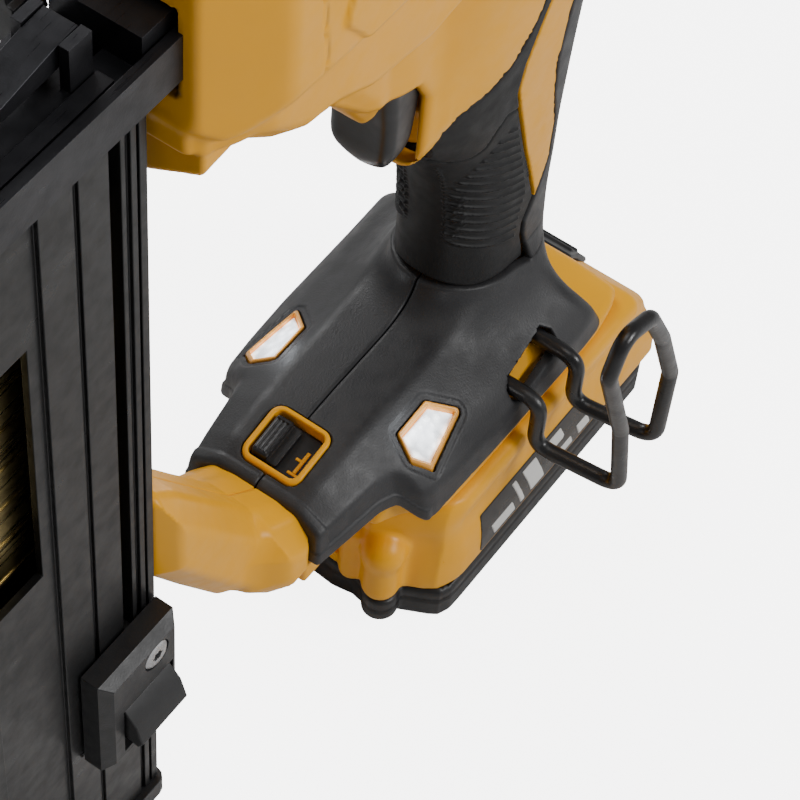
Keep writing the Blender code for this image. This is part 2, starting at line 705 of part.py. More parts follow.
# ---- two cheeks joined by a bridge, with the pivot shaft and the roller between them
pinch_left, pinch_right = twin_boxes(-76.0, -34.0, 5.4, 8.0, 288.2, 301.5)
make(
    "pinch_arm",
    pinch_left,
    DARK_STEEL,
    add=[
        pinch_right,
        mid_box(-60.0, -34.0, 7.0, 297.8, 301.5),
        rod("Y", PINCH_PIVOT, 1.5, -17.0, 17.0, 12),
    ],
    cut=[rod("Y", ROLLER, 1.75, -12, 12, 12)],
    origin=at_y(PINCH_PIVOT),
)
ROLLER_PROFILE = [(1.55, -8.8), (1.55, -5.1), (5.2, -5.1), (5.2, 5.1), (1.55, 5.1), (1.55, 8.8)]
make("pinch_roller", turned("Y", ROLLER, ROLLER_PROFILE, 20), STEEL, origin=at_y(ROLLER),
     smooth=True)

make("solenoid_body", mid_box(-22.0, 12.0, 9.0, 289.0, 306.0), DARK_STEEL,
     cut=[rod("X", SOLENOID, 4.3, -24, 4, 16)])
make("solenoid_plunger", rod("X", SOLENOID, 4.0, -24.0, -3.0, 18), STEEL,
     add=[box(-32.6, -19.7, -1.73, 1.69, 296.93, 300.31)], smooth=True)

# ================================================================ trigger group
TRIGGER = [(-49, 214), (-52.4, 206), (-53.4, 196), (-53.2, 185), (-52.4, 173), (-51.2, 166),
           (-48.6, 162.8), (-45.0, 162.6), (-42.6, 165.6), (-42.4, 180), (-42.4, 187),
           (-31.6, 188), (-31.6, 196), (-40.5, 199), (-40.5, 202), (-29.4, 204), (-29.4, 213)]
# the wide finger pad follows the trigger's front
FINGER_PAD = TRIGGER[:10] + [(-42.4, 206), (-41, 213)]
make(
    "trigger",
    plate(TRIGGER, 4.4, bevel=0.9),
    BLACK,
    add=[plate(FINGER_PAD, 8.8, bevel=2.2)],
    cut=[rod("Y", TRIGGER_PIVOT, TRIGGER_PIN_R + PIN_PLAY, -10, 10, 16)],
    origin=at_y(TRIGGER_PIVOT),
)
make("trigger_switch", mid_box(-12.6, 6.0, 7.0, 176.0, 204.0), BLACK,
     add=[rod("X", (0, 192.0), 2.4, -28.6, -12.0, 12)])
make("trigger_spring", helix("X", (0, 183.6), 2.4, 0.4, -41.9, -13.0, 8), SPRING, smooth=True)
make("lock_off_button", mid_box(-15.2, -6.8, 16.0, 214.4, 221.6), BLACK)

# ================================================================ controls and lights in the foot
make(
    "mode_bezel",
    slab("Z", rounded(-83.6, -65.4, -8.4, 8.4, 3.4, 3), 75.6, 81.0, 0.8),
    YELLOW,
    cut=[prism("Z", rounded(-80.6, -68.4, -5.8, 5.8, 1.8, 3), 77.2, 84)],
)
# two thin ribs stand on the slider
make("mode_slider", box(-79.6, -69.4, 0.6, 5.2, 77.5, 79.6), BLACK,
     add=[box(-78.5, -70.5, y, y + 0.8, 79.0, 80.4) for y in (1.4, 3.4)])
make("control_board", mid_box(-80.0, -30.0, 10.0, 61.4, 63.0), BOARD,
     add=[mid_box(-70, -58, 6, 62.4, 66.4), box(-46, -36, -9, 4, 62.4, 66.0)])

# outlines seen from above, as (X, |Y|)
LED_BEZEL = [(-52.5, 17.1), (-39.7, 18.1), (-37.2, 28.4), (-55.4, 26.9)]
LED_WINDOW = [(-50.3, 19.4), (-41.6, 20.1), (-40.0, 26.2), (-52.2, 25.2)]
LENS_GAP = 0.25
# the window with each corner drawn in towards its middle
LED_LENS = [(x + LENS_GAP * (1 if x < -46 else -1), y - LENS_GAP * (1 if y > 23 else -1))
            for x, y in LED_WINDOW]


def led_solid(points, side, low, high):
    """Solid between two heights above the sloping chamfer of the foot cover."""
    rings = []
    for lift in (low, high):
        rings.append([(x, side * y, 80.6 - 0.72 * (y - 13.5) + lift) for x, y in points])
    return loft(rings)


for side, tag in SIDES:
    make(f"led_bezel_{tag}", led_solid(LED_BEZEL, side, -6.0, 0.6), AMBER,
         cut=[led_solid(LED_WINDOW, side, -4.0, 3.0)])
    make(f"led_lens_{tag}", led_solid(LED_LENS, side, -3.6, -0.8), LENS)

# ================================================================ battery pack
SHELL_BOTTOM = PACK_SPLIT + GAP
PACK_SIDE = [(PACK_FRONT, SHELL_BOTTOM), (PACK_FRONT, 40.0), (-56.0, 47.0), (-50.0, PACK_TOP),
             (30.0, PACK_TOP), (40.0, 47.4), (48.0, 38.0), (PACK_REAR, 24.0),
             (PACK_REAR, SHELL_BOTTOM)]
# ribs on the front face: Y range and X of the front
KNUCKLES = ((-27.0, -16.4, -65.6), (-15.2, -9.4, -63.4), (9.4, 15.2, -63.4), (16.4, 27.0, -65.6))
# front corner cut off the pack, as (X, |Y|)
PACK_CORNER = [(-64.0, 29.5), (-56.4, 25.0), (-51.6, 34.4), (-46.0, 38.0), (-64.0, 38.0)]
make(
    "pack_top",
    plate(PACK_SIDE, PACK_HALF, bevel=2.6),
    YELLOW,
    add=[slab("Z", rect(x, -55.0, y0, y1), 14.0, 42.0, 1.5) for y0, y1, x in KNUCKLES],
    cut=[
        # hollow for the cells, open downwards
        mid_box(-49.4, 48.4, 34.0, 10.0, 32.0),
        # channel that receives the terminal block, open to the front
        mid_box(-70.0, 8.0, 12.0, 40.0, 55.0),
        *[prism("Z", to_side(PACK_CORNER, side), 5.0, 60.0) for side, _ in SIDES],
        # pocket of the release button
        mid_box(38.2, 60.0, 13.0, 33.0, 60.0),
    ],
)

# plan of the tray: measured +Y front quarter, rounded rear, mirrored front, as (X, Y)
TRAY_FRONT = [(-60.0, 0.0), (-60.6, 7.0), (-59.6, 13.0), (-60.4, 17.5), (-57.6, 22.5),
              (-52.4, 33.0), (-50.8, 35.4), (-47.4, 36.8), (-43.0, PACK_HALF)]
tray_rear = [point for point in rounded(PACK_FRONT, 54.0, -PACK_HALF, PACK_HALF, 9.0, 4)
             if point[0] > 0]
# run the rear points from +Y to -Y
tray_rear.sort(key=lambda point: math.atan2(point[1], point[0] - 30.0), reverse=True)
tray_plan = TRAY_FRONT + tray_rear + mirrored(TRAY_FRONT[1:])
make(
    "pack_base",
    stack("Z", [(inset(tray_plan, 2.2), 0.0), (tray_plan, 2.2), (tray_plan, PACK_SPLIT)]),
    BLACK,
    cut=[mid_box(-49.4, 48.4, 34.0, 3.0, 20.0)],
)
make(
    "pack_button",
    slab("Z", rect(38.8, 50.5, -12.6, 12.6), 36.6, 48.0, 1.4),
    BLACK,
    cut=[mid_box(38.0 + 2.6 * k, 39.0 + 2.6 * k, 11, 47.0, 49.0) for k in range(1, 5)],
)

# (radius, Y), with a small terminal on the right-hand end
CELL_END = CELL_LEN / 2
CELL_PROFILE = [(CELL_R - 0.8, -CELL_END), (CELL_R, -CELL_END + 0.8), (CELL_R, CELL_END - 0.8),
                (CELL_R - 0.8, CELL_END), (2.8, CELL_END), (2.8, CELL_END + 1.2)]
for k in range(5):
    make(f"cell_{k + 1}", turned("Y", (-39.4 + CELL_PITCH * k, 13.6), CELL_PROFILE, 20), CELL,
         smooth=True)
make(
    "terminal_block",
    mid_box(-27.4, 7.4, 10.4, 43.0, 59.4),
    BLACK,
    cut=[box(-30.0, 0.0, y - 0.6, y + 0.6, 41.0, 48.0) for y in (-7.0, -2.4, 2.4, 7.0)],
)

# ================================================================ magazine
FULL_Z = (0, 300)              # range of a cut that runs the whole height
make(
    "magazine_channel",
    mid_box(MAG_FRONT, MAG_REAR, MAG_HALF, MAG_BOTTOM, MAG_TOP),
    MAG_BLACK,
    cut=[
        mid_box(-195.6, -141.6, 5.6, *FULL_Z),
        # slot that the pusher's web runs in, on the left side
        box(-149.6, -146.2, -12.0, -3.0, 40.0, 300),
        # grooves along the left and right walls
        *[box(x0, x1, -10.0, -7.6, *FULL_Z)
          for x0, x1 in ((-144.8, -143.2), (-141.4, -140.6), (-160.0, -158.4))],
        *twin_boxes(-192.0, -170.0, 7.4, 10.0, *FULL_Z),
        box(-160.0, -158.4, 7.6, 10.0, *FULL_Z),
        # nail-level window
        box(-188.0, -174.0, -12.0, -3.0, 150.0, 230.0),
    ],
)
make("magazine_rail", box(-194.8, -142.4, 1.7, 5.3, 14.0, 271.0), STEEL,
     cut=[box(-186, -150, 3.6, 8, 10, 270)])
make(
    "magazine_end_cap",
    slab("Z", rounded(-201.0, -136.6, -10.4, 10.4, 3.0, 3), 11.6, 4.0, 1.4),
    BLACK,
    add=[box(-194.4, -142.8, -4.9, 1.2, 11.0, 17.5)],
)
make(
    "pusher",
    box(-193.4, -142.6, -5.2, 1.3, 62.0, 98.0),
    DARK_STEEL,
    add=[
        # web through the magazine's slot, and the block outside it
        box(-149.2, -146.6, -11.0, -4.5, 64.0, 96.0),
        slab("Y", rect(-166.0, -138.4, 60.0, 98.3), -9.0, -16.6, 2.6),
    ],
    cut=[
        rod("Y", PUSHER_SCREW, 4.3, -20, -15.2, 20),
        rod("Y", PUSHER_SCREW, 2.0, -20, -12.0, 12),
        # slot in which the thumb lever swings
        box(-160.0, -141.8, -20.0, -11.2, 64.0, 82.0),
    ],
    pins=[rod("X", THUMB_PIVOT, 1.2, -161.5, -140.5, 16)],
)
make(
    "pusher_screw",
    turned("Y", PUSHER_SCREW, [(4.0, -15.5), (4.0, -16.3), (3.2, -16.8)], 20),
    STEEL,
    add=[rod("Y", PUSHER_SCREW, 1.7, -15.6, -12.4, 12)],
    cut=[prism("Y", star(PUSHER_SCREW, 1.9, 1.25, 12), -18, -14.6)],
    smooth=True,
)
# thumb lever, as (Y, Z)
THUMB_LEVER = [(-12.4, 80.4), (-16.2, 81.0), (-19.6, 77.0), (-21.4, 71.0), (-20.0, 68.4),
               (-16.6, 69.4), (-12.4, 74.6)]
make(
    "pusher_latch",
    prism("X", THUMB_LEVER, -159.4, -142.4),
    BLACK,
    cut=[rod("X", THUMB_PIVOT, 1.26, -165, -135, 16)],
    origin=place("X", THUMB_PIVOT, -150.9),
)
make("pusher_spring", helix("Z", (-168.0, -1.8), 2.6, 0.45, 18.2, 61.6, 9), SPRING, smooth=True)
make(
    "nail_strip",
    mid_box(-189.6, -141.6, 0.62, 98.4, 238.4),
    BRASS,
    add=[mid_box(-189.6, -142.4, 0.95, 99.0 + NAIL_PITCH * k, 110.0 + NAIL_PITCH * k)
         for k in range(11)],
)

# ================================================================ belt hook and stall lever
# outer loop of the hook, from the front leg up, over and down to the rear leg, as (X, Z)
HOOK_LOOP = [(-15.6, 48.6), (-17.6, 60.0), (-21.6, 81.0), (-34.6, 117.0), (-30.0, 128.0),
             (-17.5, 123.0), (-8.0, 105.0), (1.9, 80.0), (1.4, 51.2)]
hook_path = [
    at_y(HOOK_FRONT, -16.0),
    at_y(HOOK_FRONT, -39.2),
    (HOOK_FRONT[0], -39.2, 48.6),
    *[at_y(point, HOOK_LOOP_Y) for point in HOOK_LOOP],
    (HOOK_REAR[0], -40.0, 51.2),
    at_y(HOOK_REAR, -40.0),
    at_y(HOOK_REAR, -16.0),
]
make("belt_hook", sweep(fillet(hook_path, 5.5, 3), 2.2, 8), DARK_STEEL, smooth=True)

STALL_LEVER = [(-64.0, 313.0), (-64.0, 316.6), (-40.0, 319.0), (-36.4, 315.0), (-38.4, 308.4),
               (-44.0, 308.4), (-44.0, 313.0)]
make(
    "stall_lever",
    plate(STALL_LEVER, 5.4),
    BLACK,
    cut=[rod("Y", STALL_PIVOT, 1.31, -10, 10, 16)],
    origin=at_y(STALL_PIVOT),
)
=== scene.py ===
"""Cordless nailer: yellow clamshell, charcoal foot cover, rubber grip, battery pack and belt hook.

The nose points to -X, the battery is at the bottom (Z up), and the left side is at -Y.
Shapes are distance fields in millimetres, meshed and scaled to metres.
"""

import math
import bpy
import numpy as np
from mathutils import Matrix, Vector


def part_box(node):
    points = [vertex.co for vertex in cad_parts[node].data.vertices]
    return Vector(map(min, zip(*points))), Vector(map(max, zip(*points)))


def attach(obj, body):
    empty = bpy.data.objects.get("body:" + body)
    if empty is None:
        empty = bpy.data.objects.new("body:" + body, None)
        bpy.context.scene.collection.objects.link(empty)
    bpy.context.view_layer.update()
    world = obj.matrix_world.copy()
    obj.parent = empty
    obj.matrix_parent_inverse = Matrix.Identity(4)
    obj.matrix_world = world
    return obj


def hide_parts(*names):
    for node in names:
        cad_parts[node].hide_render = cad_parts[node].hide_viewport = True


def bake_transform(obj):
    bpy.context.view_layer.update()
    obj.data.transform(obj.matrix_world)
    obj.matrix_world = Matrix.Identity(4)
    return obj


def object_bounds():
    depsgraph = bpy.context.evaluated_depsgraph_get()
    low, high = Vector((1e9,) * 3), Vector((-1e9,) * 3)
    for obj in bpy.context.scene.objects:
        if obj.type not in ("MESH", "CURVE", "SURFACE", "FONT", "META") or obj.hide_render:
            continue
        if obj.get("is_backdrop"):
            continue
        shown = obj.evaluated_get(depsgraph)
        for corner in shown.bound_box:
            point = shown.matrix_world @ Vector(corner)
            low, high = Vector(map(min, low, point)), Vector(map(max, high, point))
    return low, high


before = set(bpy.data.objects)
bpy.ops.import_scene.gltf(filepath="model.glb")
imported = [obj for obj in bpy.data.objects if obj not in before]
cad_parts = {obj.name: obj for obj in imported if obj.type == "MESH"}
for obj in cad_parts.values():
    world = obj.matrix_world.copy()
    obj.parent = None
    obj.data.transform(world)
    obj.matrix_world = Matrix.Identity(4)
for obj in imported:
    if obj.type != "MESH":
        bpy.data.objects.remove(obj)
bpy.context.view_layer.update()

MM = 0.001  # metres in a millimetre
SIDES = ((-1, "left"), (1, "right"))
f32 = np.float32


# ======================================================================================
# Distance fields. Each takes pos = (x, y, z), float32 arrays in millimetres, and returns
# the signed distance to a solid, negative inside.
# ======================================================================================
def join(first, second, blend=0.0):
    """Union of two fields, with the inner corner filled over `blend`."""
    if not blend:
        return np.minimum(first, second)
    near = np.maximum(blend - np.abs(first - second), 0) / blend
    return np.minimum(first, second) - near * near * (blend * 0.25)


def meet(first, second, blend=0.0):
    """Intersection of two fields, with the edge rounded over `blend`."""
    if not blend:
        return np.maximum(first, second)
    near = np.maximum(blend - np.abs(first - second), 0) / blend
    return np.maximum(first, second) + near * near * (blend * 0.25)


def cut(shape, cutter, blend=0.0):
    return meet(shape, -cutter, blend)


def skin(outer, inner, above=0.0):
    """Layer from `above` outside the surface `outer` to `inner` below it."""
    return meet(outer - above, -(outer + inner))


def inset(points, depth):
    """Moves the edges of a polygon inwards."""
    area = sum(p[0] * q[1] - q[0] * p[1] for p, q in zip(points, points[1:] + points[:1]))
    turn = 1.0 if area > 0 else -1.0
    moved = []
    for i in range(len(points)):
        here = Vector(points[i])
        edge_in = (here - Vector(points[i - 1])).normalized()
        edge_out = (Vector(points[(i + 1) % len(points)]) - here).normalized()
        normal_in = Vector((-edge_in.y, edge_in.x)) * turn
        normal_out = Vector((-edge_out.y, edge_out.x)) * turn
        scale = depth / max(0.35, 1.0 + normal_in.dot(normal_out))
        moved.append(tuple(here + (normal_in + normal_out) * scale))
    return moved


def polygon(x, y, points, corner=0.0):
    """Distance to a polygon in a plane, with its corners rounded by `corner`."""
    if corner:
        points = inset(points, corner)
    square = np.full(x.shape, 1e9, f32)
    inside = np.zeros(x.shape, bool)
    for i in range(len(points)):
        start_x, start_y = f32(points[i][0]), f32(points[i][1])
        end_x, end_y = f32(points[i - 1][0]), f32(points[i - 1][1])
        run_x, run_y = end_x - start_x, end_y - start_y
        rel_x, rel_y = x - start_x, y - start_y
        length = max(run_x * run_x + run_y * run_y, f32(1e-9))
        part = np.clip((rel_x * run_x + rel_y * run_y) / length, 0, 1)
        off_x, off_y = rel_x - run_x * part, rel_y - run_y * part
        square = np.minimum(square, off_x * off_x + off_y * off_y)
        above, below = y >= start_y, y < end_y
        left = run_x * rel_y > run_y * rel_x
        inside ^= (above & below & left) | ~(above | below | left)
    return np.where(inside, -1, 1).astype(f32) * np.sqrt(square) - corner


def rectangle(x_start, x_end, y_start, y_end):
    return [(x_start, y_start), (x_end, y_start), (x_end, y_end), (x_start, y_end)]


def extrude(flat, along, start, end, edge=0.0):
    """A plane shape extruded from start to end, with the edges of its ends rounded."""
    beyond = np.abs(along - (start + end) / 2) - ((end - start) / 2 - edge)
    flat = flat + edge
    outside = np.sqrt(np.maximum(flat, 0) ** 2 + np.maximum(beyond, 0) ** 2)
    return np.minimum(np.maximum(flat, beyond), 0) + outside - edge


def turned(pos, axis):
    """The two coordinates across an axis, then the one along it."""
    x, y, z = pos
    return {"X": (y, z, x), "Y": (x, z, y), "Z": (x, y, z)}[axis]


def prism(pos, axis, points, start, end, edge=0.0, corner=0.0):
    across, up, along = turned(pos, axis)
    return extrude(polygon(across, up, points, corner), along, start, end, edge)


def box(pos, x_span, y_span, z_span, edge=0.0):
    over = [
        np.abs(value - (low + high) / 2) - ((high - low) / 2 - edge)
        for value, (low, high) in zip(pos, (x_span, y_span, z_span))
    ]
    inside = np.minimum(np.maximum(np.maximum(over[0], over[1]), over[2]), 0)
    return inside + np.sqrt(sum(np.maximum(value, 0) ** 2 for value in over)) - edge


def capsule(pos, start, end, radius):
    run_x, run_y, run_z = (q - p for p, q in zip(start, end))
    rel_x, rel_y, rel_z = (value - p for value, p in zip(pos, start))
    length = run_x * run_x + run_y * run_y + run_z * run_z
    part = (rel_x * run_x + rel_y * run_y + rel_z * run_z) / length
    part = np.clip(part, 0, 1).astype(f32)
    square = (rel_x - part * run_x) ** 2 + (rel_y - part * run_y) ** 2
    return np.sqrt(square + (rel_z - part * run_z) ** 2) - radius


def cylinder(pos, axis, centre, radius, start, end, edge=0.0):
    across, up, along = turned(pos, axis)
    circle = np.sqrt((across - centre[0]) ** 2 + (up - centre[1]) ** 2) - radius
    return extrude(circle, along, start, end, edge)


def ball(pos, centre, radius, scale=(1, 1, 1)):
    ratio = np.sqrt(sum(((p - c) / s) ** 2 for p, c, s in zip(pos, centre, scale)))
    return (ratio - radius) * min(scale)


def half_space(pos, normal, through):
    """Everything behind the plane through a point with an outward normal."""
    length = math.sqrt(sum(n * n for n in normal))
    return sum((p - c) * (n / length) for p, c, n in zip(pos, through, normal))


def curve(stations, x, width):
    """Values at x of stations (places, values), smoothed by a Gaussian of this width."""
    places, values = stations
    grid = np.arange(places[0] - 12, places[-1] + 12, 0.5)
    table = np.interp(grid, places, values)
    taps = np.arange(-int(width * 6), int(width * 6) + 1) * 0.5
    weights = np.exp(-0.5 * (taps / width) ** 2)
    padded = np.pad(table, len(taps) // 2, mode="edge")
    table = np.convolve(padded, weights / weights.sum(), mode="valid")
    return np.interp(x, grid, table).astype(f32)


def step(start, end, x):
    """Smooth rise from 0 at start to 1 at end."""
    part = np.clip((x - start) / (end - start), 0, 1)
    return part * part * (3 - 2 * part)


def bump_at(offset, width):
    """Bell-shaped profile around zero offset."""
    return np.exp(-((offset / width) ** 2))


def line_distance(x, y, points):
    square = np.full(x.shape, 1e9, f32)
    for (start_x, start_y), (end_x, end_y) in zip(points, points[1:]):
        run_x, run_y = end_x - start_x, end_y - start_y
        part = ((x - start_x) * run_x + (y - start_y) * run_y) / (run_x * run_x + run_y * run_y)
        part = np.clip(part, 0, 1).astype(f32)
        off_x, off_y = x - start_x - run_x * part, y - start_y - run_y * part
        square = np.minimum(square, off_x ** 2 + off_y ** 2)
    return np.sqrt(square)


# ======================================================================================
# Surface of a field: a dense grid filled block by block, surface nets, then the points
# are pulled onto the exact surface.
# ======================================================================================
BLOCK = 8  # grid points along a block
CORNERS = tuple(np.ndindex(2, 2, 2))
TETRAHEDRON = np.array(((1, -1, -1), (-1, -1, 1), (-1, 1, -1), (1, 1, 1)), f32)


def columns(points):
    return points[:, 0].copy(), points[:, 1].copy(), points[:, 2].copy()


def sample(field, points, chunk=262144):
    values = np.empty(len(points), f32)
    for i in range(0, len(points), chunk):
        values[i : i + chunk] = field(columns(points[i : i + chunk]))
    return values


def fill_grid(field, low, high, pitch):
    """Field values on the grid; blocks far from the surface only get a sign."""
    blocks = np.ceil((np.array(high, f32) - low) / (pitch * BLOCK)).astype(int) + 1
    blocks = np.maximum(blocks, 1)
    axes = [low[i] + (np.arange(blocks[i]) * BLOCK + (BLOCK - 1) / 2) * pitch for i in range(3)]
    centres = np.stack(np.meshgrid(*axes, indexing="ij"), -1).reshape(-1, 3).astype(f32)
    rough = sample(field, centres)
    signs = np.where(rough < 0, f32(-9), f32(9)).reshape(blocks[0], 1, blocks[1], 1, blocks[2], 1)
    shape = (blocks[0], BLOCK, blocks[1], BLOCK, blocks[2], BLOCK)
    grid = np.broadcast_to(signs, shape).copy()
    # half a block's diagonal, with a margin for fields that are not exact distances
    active = np.nonzero(np.abs(rough) < BLOCK * pitch * 0.87 * 1.35 + pitch)[0]
    inner = np.stack(np.meshgrid(*[np.arange(BLOCK)] * 3, indexing="ij"), -1).reshape(-1, 3)
    inner = (inner * pitch).astype(f32)
    index = np.unravel_index(active, blocks)
    for start in range(0, len(active), 512):
        i, j, k = (part[start : start + 512] for part in index)
        origin = low + np.stack([i, j, k], -1).astype(f32) * f32(BLOCK * pitch)
        points = (origin[:, None, :] + inner[None]).reshape(-1, 3)
        grid[i, :, j, :, k, :] = field(columns(points)).reshape(-1, BLOCK, BLOCK, BLOCK)
    grid = grid.reshape(blocks * BLOCK)
    grid[grid == 0] = f32(1e-6)
    return grid


def cell_points(grid, cells):
    """Mean of the edge crossings of each cell, in grid units."""
    total = np.zeros((len(cells), 3))
    count = np.zeros(len(cells))
    value_at = {c: grid[tuple(cells[:, i] + c[i] for i in range(3))] for c in CORNERS}
    for corner, value in value_at.items():
        for axis in range(3):
            if corner[axis]:
                continue
            other = value_at[tuple(corner[i] + (i == axis) for i in range(3))]
            hit = (value < 0) != (other < 0)
            part = np.where(hit, value / np.where(hit, value - other, 1), 0)
            for i in range(3):
                total[:, i] += np.where(hit, corner[i] + (part if i == axis else 0), 0)
            count += hit
    return cells + total / count[:, None]


def net_faces(solid_at, ids):
    """A quad across every grid edge that passes through the surface."""
    faces = []
    for axis in range(3):
        here, ahead = [slice(1, -1)] * 3, [slice(1, -1)] * 3
        here[axis] = slice(0, -1)
        ahead[axis] = slice(1, None)
        first, second = solid_at[tuple(here)], solid_at[tuple(ahead)]
        across, up = [(1, 2), (2, 0), (0, 1)][axis]
        for solid_first in (True, False):
            origin = np.argwhere((first != second) & (first == solid_first)) + 1
            origin[:, axis] -= 1
            quad = []
            for i, j in ((0, 0), (1, 0), (1, 1), (0, 1)):
                cell = origin.copy()
                cell[:, across] -= i
                cell[:, up] -= j
                quad.append(ids[tuple(cell.T)])
            quad = np.stack(quad, -1)
            faces.append(quad if solid_first else quad[:, ::-1])
    faces = np.concatenate(faces)
    return faces[(faces >= 0).all(1)]


def surface(field, low, high, pitch):
    """Points, quads and normals of the surface inside the box low to high."""
    low = np.array(low, f32)
    grid = fill_grid(field, low, high, pitch)
    size = np.array(grid.shape)
    solid_at = grid < 0
    total = sum(
        solid_at[tuple(slice(c[i], c[i] + size[i] - 1) for i in range(3))].astype(np.int8)
        for c in CORNERS
    )
    cells = np.argwhere((total > 0) & (total < 8))
    ids = np.full(tuple(size - 1), -1, np.int32)
    ids[tuple(cells.T)] = np.arange(len(cells))
    points = (low + cell_points(grid, cells) * pitch).astype(f32)
    faces = net_faces(solid_at, ids)
    used = np.unique(faces)
    renumber = np.full(len(points), -1, np.int64)
    renumber[used] = np.arange(len(used))
    points, faces = points[used], renumber[faces]
    reach = f32(pitch * 0.35)
    for turn in range(3):
        values = np.stack([sample(field, points + TETRAHEDRON[i] * reach) for i in range(4)], -1)
        slope = values @ TETRAHEDRON / (4 * reach)
        steep = np.linalg.norm(slope, axis=1, keepdims=True)
        normals = slope / np.maximum(steep, 1e-6)
        if turn == 2:
            break
        away = sample(field, points)[:, None] / np.clip(steep, 0.4, 2.0)
        points = points - normals * np.clip(away, -0.6 * pitch, 0.6 * pitch)
    return points, faces, normals


def smooth_faces(mesh):
    mesh.polygons.foreach_set("use_smooth", [True] * len(mesh.polygons))


def link(name, data):
    obj = bpy.data.objects.new(name, data)
    bpy.context.scene.collection.objects.link(obj)
    return obj


def put(name, mesh, body, replaced):
    """Adds a mesh to the model, moving with a body."""
    obj = link(name, mesh)
    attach(obj, body)
    if replaced:
        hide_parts(replaced)


def solid(name, material, parts, body="tool", replaced=None):
    """Meshes parts (field, low corner, high corner, grid pitch) as one object."""
    points, faces, normals, base = [], [], [], 0
    for part in parts:
        part_points, part_faces, part_normals = surface(*part)
        points.append(part_points)
        faces.append(part_faces + base)
        normals.append(part_normals)
        base += len(part_points)
    points, faces, normals = (np.concatenate(group) for group in (points, faces, normals))
    mesh = bpy.data.meshes.new(name)
    mesh.vertices.add(len(points))
    mesh.vertices.foreach_set("co", (points * MM).astype(f32).ravel())
    mesh.loops.add(faces.size)
    mesh.loops.foreach_set("vertex_index", faces.ravel().astype(np.int32))
    mesh.polygons.add(len(faces))
    mesh.polygons.foreach_set("loop_start", np.arange(0, faces.size, 4, dtype=np.int32))
    smooth_faces(mesh)
    mesh.update(calc_edges=True)
    mesh.validate()
    mesh.normals_split_custom_set_from_vertices(normals.astype(float))
    mesh.materials.append(material)
    put(name, mesh, body, replaced)


# ======================================================================================
# Materials
# ======================================================================================
def graph(name):
    material = bpy.data.materials.new(name)
    material.use_nodes = True
    tree = material.node_tree
    return material, tree, tree.nodes["Principled BSDF"]


def feed(tree, node, inputs):
    """Links the sockets and sets the values given for a node's inputs."""
    for key, value in inputs.items():
        if isinstance(value, bpy.types.NodeSocket):
            tree.links.new(value, node.inputs[key])
        else:
            node.inputs[key].default_value = value


def add(tree, kind, inputs=None, **props):
    node = tree.nodes.new(kind)
    for key, value in props.items():
        setattr(node, key, value)
    feed(tree, node, inputs or {})
    return node


def position(tree):
    return add(tree, "ShaderNodeNewGeometry").outputs["Position"]


def noise(tree, vector, scale, detail, roughness=0.5):
    inputs = {"Vector": vector, "Scale": scale, "Detail": detail, "Roughness": roughness}
    return add(tree, "ShaderNodeTexNoise", inputs).outputs[0]


def stretched(tree, vector, scale):
    return add(tree, "ShaderNodeMapping", {"Vector": vector, "Scale": scale}).outputs[0]


def cells(tree, vector, scale, feature):
    inputs = {"Vector": vector, "Scale": scale}
    return add(tree, "ShaderNodeTexVoronoi", inputs, feature=feature).outputs["Distance"]


def remap(tree, value, span, to):
    """Maps the range `span` of a value to the range `to`."""
    inputs = {0: value, 1: span[0], 2: span[1], 3: to[0], 4: to[1]}
    return add(tree, "ShaderNodeMapRange", inputs).outputs[0]


def combine(tree, operation, first, second):
    return add(tree, "ShaderNodeMath", {0: first, 1: second}, operation=operation).outputs[0]


def mix(tree, factor, *colours):
    """Mixes two colours, each a socket or a triple."""
    first, second = (c if isinstance(c, bpy.types.NodeSocket) else (*c, 1) for c in colours)
    inputs = {0: factor, 6: first, 7: second}
    return add(tree, "ShaderNodeMix", inputs, data_type="RGBA").outputs[2]


def bump(tree, shader, height, distance=0.001, strength=1.0):
    inputs = {"Height": height, "Distance": distance, "Strength": strength}
    node = add(tree, "ShaderNodeBump", inputs)
    feed(tree, shader, {"Normal": node.outputs[0]})


def scaled(colour, factor):
    return tuple(value * factor for value in colour)


